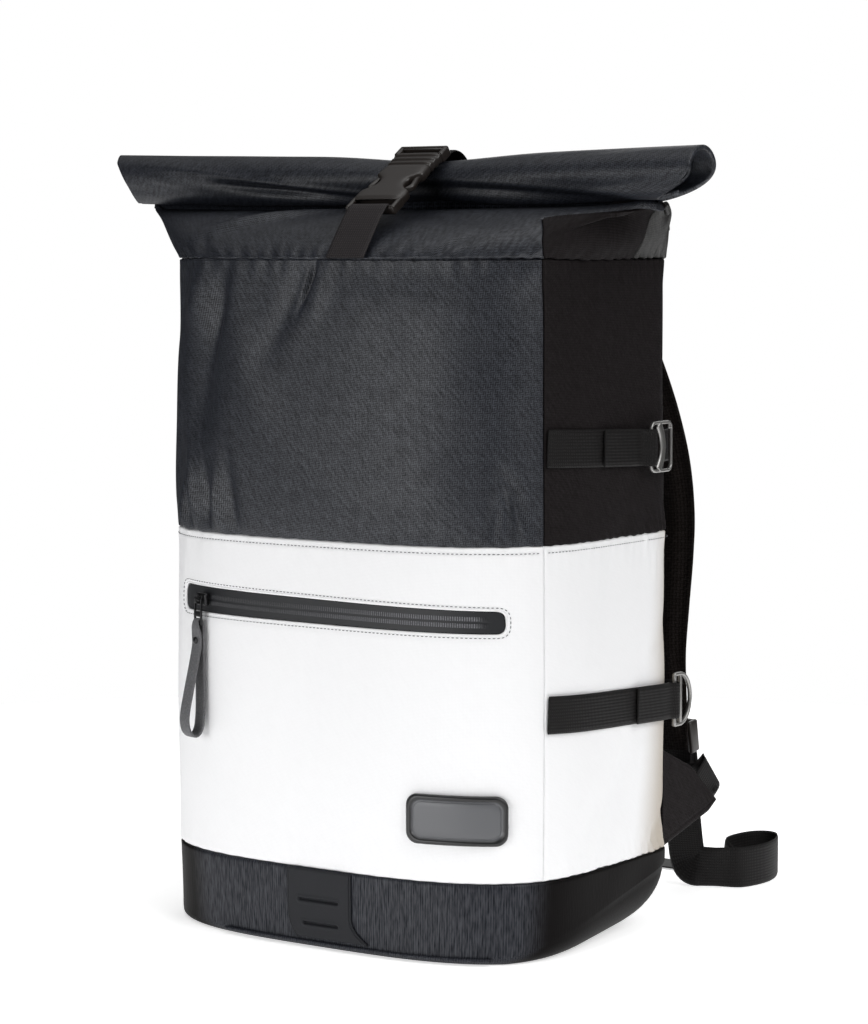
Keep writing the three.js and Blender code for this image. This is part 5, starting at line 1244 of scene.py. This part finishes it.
def on_edge(points):
    """Places for webbing that stands on its edge: each point with upwards as the direction across."""
    return np.column_stack([points, np.tile((0, 0, 1.0), (len(points), 1))])


def on_side(ys, z_front, z_rear, bar_y, lift):
    """Places of a side strap on the wall, its height going evenly from the front seam to the bar."""
    share = np.clip((ys - SEAM_Y) / (bar_y - SEAM_Y), 0, 1)
    return on_edge(wall(along_at_y(ys), z_front + (z_rear - z_front) * share, lift))


def rod(flat, origin, axes, half_side, half_face, ring=False):
    """A drawn metal rod along a flat path on two axes, as a grid; its face looks along the third."""
    path = placed(origin, axes, flat[:, 0], flat[:, 1], 0)
    return sweep(path, np.tile(axes[2], (len(flat), 1)), ellipse(half_face, half_side, 12, 2.6), ring)


bow_y = np.linspace(-HOOK_BOW_HALF, HOOK_BOW_HALF, 50)
hook_bow = np.stack([HOOK_BOW_AT + HOOK_BOW_DEEP * (1 - (bow_y / HOOK_BOW_HALF) ** 2), bow_y], -1)
hook_loop = rounded_outline(HOOK_HALF_LONG, HOOK_HALF_TALL, HOOK_CORNER) + (HOOK_MIDDLE, 0)
half_turn = np.linspace(0, math.pi, 60)
ring_loop = np.concatenate([  # the bow, the lower leg, the bar and the upper leg
    np.stack([RING_SIDE + RING_BOW * np.sin(half_turn), RING_HALF * np.cos(half_turn)], -1),
    np.stack([np.linspace(RING_SIDE, 0, 8)[1:], np.full(7, -RING_HALF)], -1),
    np.stack([np.zeros(22), np.linspace(-RING_HALF, RING_HALF, 24)[1:-1]], -1),
    np.stack([np.linspace(0, RING_SIDE, 8)[:-1], np.full(7, RING_HALF)], -1)])
for side, sign in SIDES:
    flip = np.array((sign, 1, 1, 1, 1, 1.0))
    plate_axes = np.array(((0, 1.0, 0), (0, 0, 1.0), (sign, 0, 0)))
    for strap_name, z_front, z_rear, bar_x, bar_y, fold_y in SIDE_STRAPS:
        last_y = min(bar_y - 9, 80)
        bar = np.array((bar_x, bar_y, z_rear))
        under = on_side(np.linspace(SEAM_Y + 1.5, last_y, 12), z_front, z_rear, bar_y, STRAP_UNDER)
        turn_back = on_edge(np.array([bar + (out, rearwards, 0) for rearwards, out in FOLD_PATH]))
        over = on_side(np.linspace(last_y - 2, fold_y, 5), z_front, z_rear, bar_y, STRAP_OVER)
        strap_places = np.concatenate([under, turn_back, over]) * flip
        strap = webbing(f"side_strap_{strap_name}_webbing_{side}", strap_places, SIDE_WIDTH)
        fit(strap, black_webbing, "webbing", f"side_strap_{strap_name}_{side}")
        anchor_turn, anchor_lift = np.array(ANCHORS[strap_name]).T
        anchor_line = wall_polar(np.radians(anchor_turn), np.full(len(anchor_turn), z_rear), anchor_lift)
        anchor_places = on_edge(anchor_line) * flip
        anchor = webbing(f"fitting_anchor_{strap_name}_webbing_{side}", anchor_places, ANCHOR_WIDTH)
        fit(anchor, black_webbing, "webbing", f"fitting_anchor_{strap_name}_{side}")
        bar_at = bar * (sign, 1, 1)
        if strap_name == "upper":
            hook_frame = rod(hook_loop, bar_at, plate_axes, 1.15, 1.4, True)
            parts = [(hook_frame.reshape(-1, 3), grid_faces(*hook_frame.shape[:2], True, True)),
                     lofted(rod(hook_bow, bar_at, plate_axes, 3.5, 1.7)),
                     block(placed(bar_at, plate_axes, 22.4, 13.4, 0.9), (1.5, 1.5, 0.9), plate_axes, 0.8)]
            fitting = piece(f"strap_hook_metal_{side}", *together(parts))
            fit(fitting, dark_nickel, "gunmetal", f"strap_hook_upper_{side}")
        else:
            ring_frame = rod(ring_loop, bar_at, plate_axes, 1.3, 1.45, True)
            parts = [(ring_frame.reshape(-1, 3), grid_faces(*ring_frame.shape[:2], True, True)),
                     block(placed(bar_at, plate_axes, 7.7, 0, 0), (1.4, 16.6, 1.4), plate_axes, 0.9)]
            fitting = piece(f"strap_ring_metal_{side}", *together(parts))
            fit(fitting, dark_nickel, "gunmetal", f"strap_ring_lower_{side}")

# Back panel: foam under knitted mesh, sewn all round, with one upright channel and two level ones pressed in.
BACK_FOAM, BACK_PUFF, BACK_ROUND = 7.0, 4.0, 14
CHANNEL_DEEP, CHANNEL_HALF, CHANNEL_Z = 3.0, 6, (190, 330)
# Knit mesh: a coarse open grid, dull and brown black.
knit_mesh = woven("black_knit_mesh", "#100c0a", "#191412", 2.2, 0.5, 0.85, 0.03, 0.12, twill=False)
back_from, back_to = REAR_SEAM + SEAM_GAP / 2, 2 * HALF_GIRTH - REAR_SEAM - SEAM_GAP / 2
back_a, back_h = np.meshgrid(edge_steps(back_from, back_to, 2.4), edge_steps(band_bottom, upper_top, 2.4),
                             indexing="ij")
back_edge = np.minimum(np.minimum(back_a - back_from, back_to - back_a),
                       np.minimum(back_h - band_bottom, upper_top - back_h))
swell = 1 - np.exp(-back_edge / BACK_ROUND)
channel = np.exp(-((back_a - HALF_GIRTH) / CHANNEL_HALF) ** 2)
for channel_z in CHANNEL_Z:
    channel += np.exp(-((back_h - channel_z) / CHANNEL_HALF) ** 2)
back_lift = BACK_PUFF * swell - CHANNEL_DEEP * np.clip(channel, 0, 1) * swell + edge_turn(back_edge)
back_outer = wall(back_a, back_h, back_lift)
back_uv = np.stack([back_a, back_h], -1)
back = piece("back_panel_mesh", back_outer, grid_faces(*back_a.shape), back_uv, closed=False)
fit(thick(back, BACK_FOAM), knit_mesh, "padding", "back_panel")

# Shoulder straps: foam under mesh with a sewn flange down each edge, bowed from the back panel's top to a
# ladder lock. A folded wing of cloth from the side seam holds the adjusting webbing, whose free end lies on
# the floor.
STRAP_ROWS = np.array([  # x, y, z, width, thickness
    (70, 104.6, 452, 62, 5), (73, 113.5, 442, 64, 9), (79, 127, 418, 66, 12), (85, 142, 388, 66, 12),
    (90, 157, 352, 66, 12), (93, 169, 316, 65, 12), (94, 176, 280, 63, 12), (94, 176.5, 248, 61, 12),
    (95, 172, 212, 58, 12), (96, 169.5, 180, 54, 12), (99, 170.5, 152, 48, 11), (101, 174.5, 128, 42, 10),
    (102, 178.5, 105, 35, 5)], float)
LOCK_AT, LOCK_LEAN = np.array((102, 191, 115.0)), np.array((0, -0.17, 0.985))
LOCK_UP = LOCK_LEAN / np.linalg.norm(LOCK_LEAN)
LOCK_HALF, LOCK_CHEEK_AT, LOCK_CHEEK = 18.0, (16.6, 0, -3.0), (2.0, 12, 5.6)
LOCK_BARS = [(-10, 1.9, 2.2), (0, 1.8, 1.8), (10, 1.9, 2.2)]  # up, half height, half thickness
FLANGE_HALF, FLANGE_FROM, FLANGE_OVER = 1.3, 0.86, 0.3  # half its thickness; shares of the half width
WING_FOOT, WING_ALONG = np.array((147.5, 97, 0.0)), np.array((0.1, 0.995, 0)) / math.hypot(0.1, 0.995)
WING_UPPER = (0, 0.52, 1), (120, 104, 76)  # share of its length, height
WING_LOWER = (0, 0.85, 1), (51, 69, 76)
WING_BEHIND, WING_LONG, WING_TIP = 3.5, 66.5, 66
WING_EDGE_HALF, WING_FULL, WING_ROUND = 0.4, 0.9, 2
WING_SEAM, WING_SEAM_DEEP, WING_SEAM_WIDE = 5, 0.25, 0.8
WING_ACROSS = np.array((20, -23.5, 0)) / math.hypot(20, 23.5)
FROM_WING = [  # along, z, out
    (41, 77.6, -2.6), (53, 87.7, -2.6), (60.5, 94, -2.6), (63.6, 96.6, -4.2), (62.6, 95.8, -6.4),
    (57, 92, -8.6)]
TO_LOCK = [(128, 172, 84, 0.38, 0.41, -0.83), (111, 183, 82, 0.85, 0.2, -0.48)]
ROUND_LOCK = [  # up, out
    (-24, -4.4), (-12, -3.4), (-3, -3.3), (2.4, -3.3), (5, -1.4), (5, 1.4), (2.4, 3.3), (-3, 3.3), (-12, 3.5),
    (-22, 3.8)]
FREE_END = {  # point, direction across the webbing
    "right": [
        (102, 200, 70, 1, 0, 0), (103, 202.5, 48, 1, 0, 0), (103.6, 205, 31, 1, 0.02, 0),
        (105, 206, 21, 1, 0.05, 0.1), (109, 205.5, 16.3, 0.93, 0.1, 0.36),
        (116, 205.5, 15.6, 0.75, 0.1, 0.65), (125, 208, 15.6, 0.45, 0.05, 0.88), (134, 213, 15.5, 0.15, 0, 1),
        (143, 219, 15.5, 0, 0, 1), (148, 234, 15.4, 0, 0, 1), (149, 251, 15.4, 0, 0, 1),
        (145, 269, 15.4, 0, 0, 1), (137, 283.5, 15.4, 0, 0, 1), (127, 286.2, 15.4, 0, 0, 1),
        (118, 278, 15.4, 0, 0, 1), (114, 260, 15.4, 0, 0, 1), (115, 243, 15.6, 0.1, 0, 1),
        (121, 231, 14.4, 0.3, 0.3, 0.9), (129, 222, 12, 0.5, 0.4, 0.76)],
    "left": [
        (102, 200, 70, 1, 0, 0), (103, 202, 45, 1, 0, 0), (104, 205, 22, 1, 0, 0), (104, 208, 9, 1, 0, 0),
        (103, 214, 3.4, 1, 0, 0), (101, 224, 1.4, 0.95, 0.3, 0), (88, 241, 1.3, 0.7, 0.7, 0),
        (64, 255, 1.3, 0.35, 0.94, 0), (30, 262, 1.3, 0.1, 1, 0), (-20, 263, 1.3, 0, 1, 0),
        (-72, 261, 1.3, 0, 1, 0)]}


def strap_profile(width, thickness, count=44):
    """Padded strap's section: a full middle and a thin sewn flange at each edge."""
    turn = np.linspace(0, 2 * math.pi, count, endpoint=False)
    side = signed_power(np.cos(turn), 0.55)
    full = np.clip((FLANGE_FROM - np.abs(side)) / FLANGE_OVER, 0, 1)
    full = full * full * (3 - 2 * full)
    half = FLANGE_HALF + (thickness / 2 - FLANGE_HALF) * full
    round_edge = np.sqrt(np.clip(1 - np.abs(side) ** 24, 0, 1))
    return np.stack([side * width / 2, np.sign(np.sin(turn)) * half * round_edge], -1)


strap_path, strap_run = smooth_path(STRAP_ROWS, 2.5)
strap_profiles = np.stack([strap_profile(w, t) for w, t in strap_path[:, 3:5]])
strap_uv = np.stack(np.broadcast_arrays(strap_run[:, None], strap_profiles[..., 0]), -1)
lock_out = np.cross((-1.0, 0, 0), LOCK_UP)
wing_axes = np.stack([WING_ALONG, (0, 0, 1.0), np.cross(WING_ALONG, (0, 0, 1.0))])
reach, tall = np.meshgrid(np.linspace(0, 1, 70), np.linspace(0, 1, 60), indexing="ij")
upper_edge, lower_edge = np.interp(reach, *WING_UPPER), np.interp(reach, *WING_LOWER)
wing_a = WING_LONG * reach - WING_BEHIND
wing_z = lower_edge + (upper_edge - lower_edge) * tall
wing_edge = np.minimum(np.minimum(tall, 1 - tall) * (upper_edge - lower_edge), (1 - reach) * WING_TIP)
wing_half = (WING_EDGE_HALF + WING_FULL * np.sqrt(np.clip(wing_edge / WING_ROUND, 0, 1))
             - WING_SEAM_DEEP * np.exp(-((wing_edge - WING_SEAM) / WING_SEAM_WIDE) ** 2))
wing_points = np.concatenate([placed(WING_FOOT, wing_axes, wing_a, wing_z, half).reshape(-1, 3)
                              for half in (wing_half, -wing_half)])
number = np.arange(reach.size).reshape(reach.shape)
ring = np.r_[number[0], number[1:, -1], number[-1, -2::-1], number[-2:0:-1, 0]]
rim_faces = np.stack([ring, np.roll(ring, -1), np.roll(ring, -1) + reach.size, ring + reach.size], -1)
wing_face = grid_faces(*reach.shape)
wing_faces = np.concatenate([wing_face, wing_face[:, ::-1] + reach.size, rim_faces])
wing_uv = np.concatenate([np.stack([wing_a, wing_z], -1).reshape(-1, 2)] * 2)
from_wing = [(*placed(WING_FOOT, wing_axes, *row), *(WING_ACROSS @ wing_axes)) for row in FROM_WING]
round_lock = [(*(LOCK_AT + LOCK_UP * up + lock_out * out), 1, 0, 0) for up, out in ROUND_LOCK]
for side, sign in SIDES:
    strap = swept(f"shoulder_strap_pad_{side}", strap_path[:, :3] * (sign, 1, 1),
                  np.tile((1.0, 0, 0), (len(strap_path), 1)), strap_profiles, uv=strap_uv)
    fit(strap, knit_mesh, "padding", f"shoulder_strap_{side}")

    lock_axes = np.stack([(-1.0, 0, 0), LOCK_UP, lock_out]) * (sign, 1, 1)
    lock_at = LOCK_AT * (sign, 1, 1)
    lock_parts = [block(placed(lock_at, lock_axes, 0, up, 0), (LOCK_HALF, half_up, half_out), lock_axes, 1.3)
                  for up, half_up, half_out in LOCK_BARS]
    for s in (-1, 1):
        cheek_at = placed(lock_at, lock_axes, *(np.array(LOCK_CHEEK_AT) * (s, 1, 1)))
        lock_parts.append(block(cheek_at, LOCK_CHEEK, lock_axes, 1.8))
    lock = piece(f"ladder_lock_acetal_{side}", *together(lock_parts))
    fit(lock, acetal, "buckle_plastic", f"ladder_lock_{side}")

    wing = piece(f"strap_wing_cloth_{side}", wing_points * (sign, 1, 1), wing_faces, wing_uv)
    fit(wing, side_nylon, "black_cloth", f"strap_wing_{side}")

    free = np.array([*from_wing, *TO_LOCK, *round_lock, *FREE_END[side]], float)
    adjuster = webbing(f"adjusting_webbing_{side}", free * (sign, 1, 1, sign, 1, 1), SHOULDER_WIDTH)
    fit(adjuster, black_webbing, "webbing", f"adjust_webbing_{side}")
